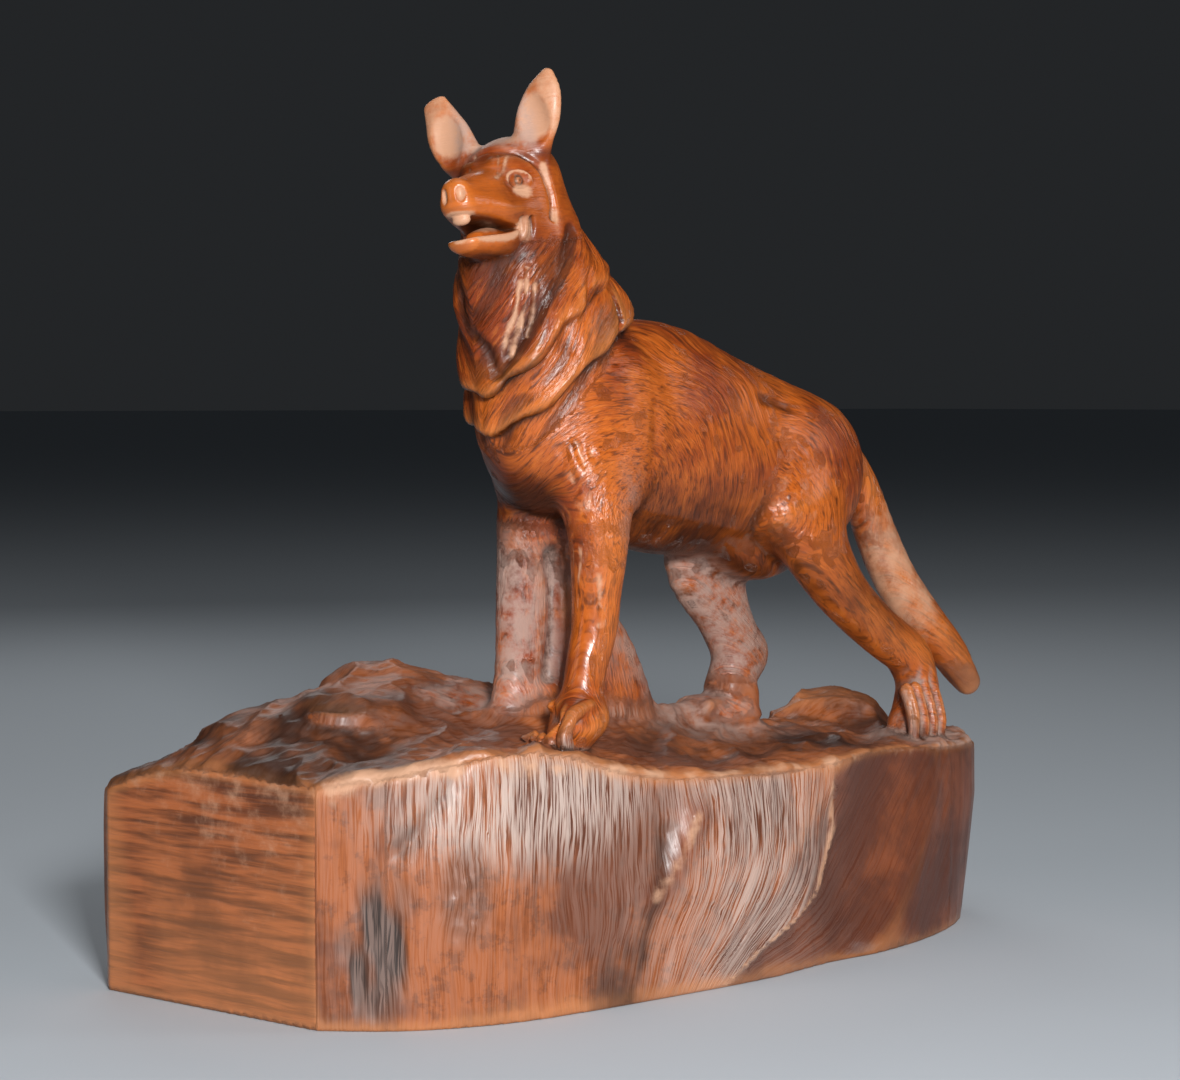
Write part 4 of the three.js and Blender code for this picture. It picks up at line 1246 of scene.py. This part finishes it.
def roughness():
    """Waxed wood, duller where it is worn pale, where highlights are painted and where it is dusty, and
    glossier where it is smooth
    """
    rough = plus(times(drifts, 0.2), times(ragged, 0.2), 0.13, times(rock, 0.12))
    rough = plus(rough, times(wear_and_highlight_here, 0.16), times(dusty, 0.35))
    return math_node("SUBTRACT", rough, times(smooth_at, 0.07), True)


def raised_strokes():
    """The strokes of the coat and the grain of the rock, as bumps"""
    height = plus(times(broad, 0.8), times(fine, 0.4))
    plainness = math_node("SUBTRACT", 1.2, times(smooth_at, 0.8))
    height = times(height, plainness, between(rock, stroke_depth, grain_depth))
    height = plus(height, times(ragged, 0.12))
    return node("Bump", {"Strength": 0.75, "Distance": 0.0007, "Height": height}).outputs["Normal"]


shader = node("BsdfPrincipled", {
    "Base Color": weathered(mix(rock, coat_colour(), rock_colour())),
    "Roughness": roughness(),
    "Normal": raised_strokes(),
    "Specular IOR Level": 0.45,
    "Coat Weight": 0.06,
    "Coat Roughness": 0.2,
})
node("OutputMaterial", {"Surface": shader.outputs["BSDF"]})
mesh.materials.append(material)

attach(wolf, "root")
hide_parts("carved_wolf")

# Floor, light and camera

floor_mesh = bpy.data.meshes.new("floor")
corners = [(i * FLOOR_REACH, j * FLOOR_REACH, 0) for i, j in ((-1, -1), (1, -1), (1, 1), (-1, 1))]
floor_mesh.from_pydata(corners, [], [(0, 1, 2, 3)])
floor = bpy.data.objects.new("floor", floor_mesh)
bpy.context.scene.collection.objects.link(floor)
floor_material = bpy.data.materials.new("pale_floor")
floor_material.use_nodes = True
floor_shader = floor_material.node_tree.nodes["Principled BSDF"]
floor_shader.inputs["Base Color"].default_value = (0.56, 0.61, 0.66, 1)
floor_shader.inputs["Roughness"].default_value = 0.8
floor_mesh.materials.append(floor_material)

world = bpy.data.worlds.new("studio")
world.use_nodes = True
background = world.node_tree.nodes["Background"]
background.inputs["Color"].default_value = (0.85, 0.92, 1, 1)
background.inputs["Strength"].default_value = 0.02
bpy.context.scene.world = world


def softbox(name, at, target, width, tall, power):
    """A rectangular lamp at a place, turned to its target"""
    light = bpy.data.lights.new(name, "AREA")
    light.shape = "RECTANGLE"
    light.size = width
    light.size_y = tall
    light.energy = power
    lamp = bpy.data.objects.new(name, light)
    lamp.location = at
    lamp.rotation_euler = (Vector(target) - Vector(at)).to_track_quat("-Z", "Y").to_euler()
    bpy.context.scene.collection.objects.link(lamp)


softbox("key", (-0.5, -0.88, 0.4), (0, 0, 0.14), 0.15, 0.15, 12.5)
softbox("left", (-1.2, 0.1, 0.4), (0, 0, 0.14), 0.3, 0.6, 1)
softbox("right", (0.85, -0.75, 0.55), (0, 0, 0.12), 0.2, 0.4, 1.6)
softbox("back", (0.4, 1, 0.8), (0, 0, 0.15), 0.6, 0.3, 1.5)
softbox("above", (0, 0, 2.4), (0, 0, 0), 1.6, 1.6, 7)
bpy.context.scene.view_settings.view_transform = "Standard"

camera_data = bpy.data.cameras.new("camera")
camera_data.sensor_fit = "HORIZONTAL"
camera_data.sensor_width = 36
camera_data.lens = CAMERA_LENS
camera = bpy.data.objects.new("camera", camera_data)
camera.location = CAMERA_PLACE
camera.rotation_euler = (math.radians(90 - CAMERA_PITCH), 0, -math.radians(CAMERA_HEADING))
bpy.context.scene.collection.objects.link(camera)
bpy.context.scene.camera = camera
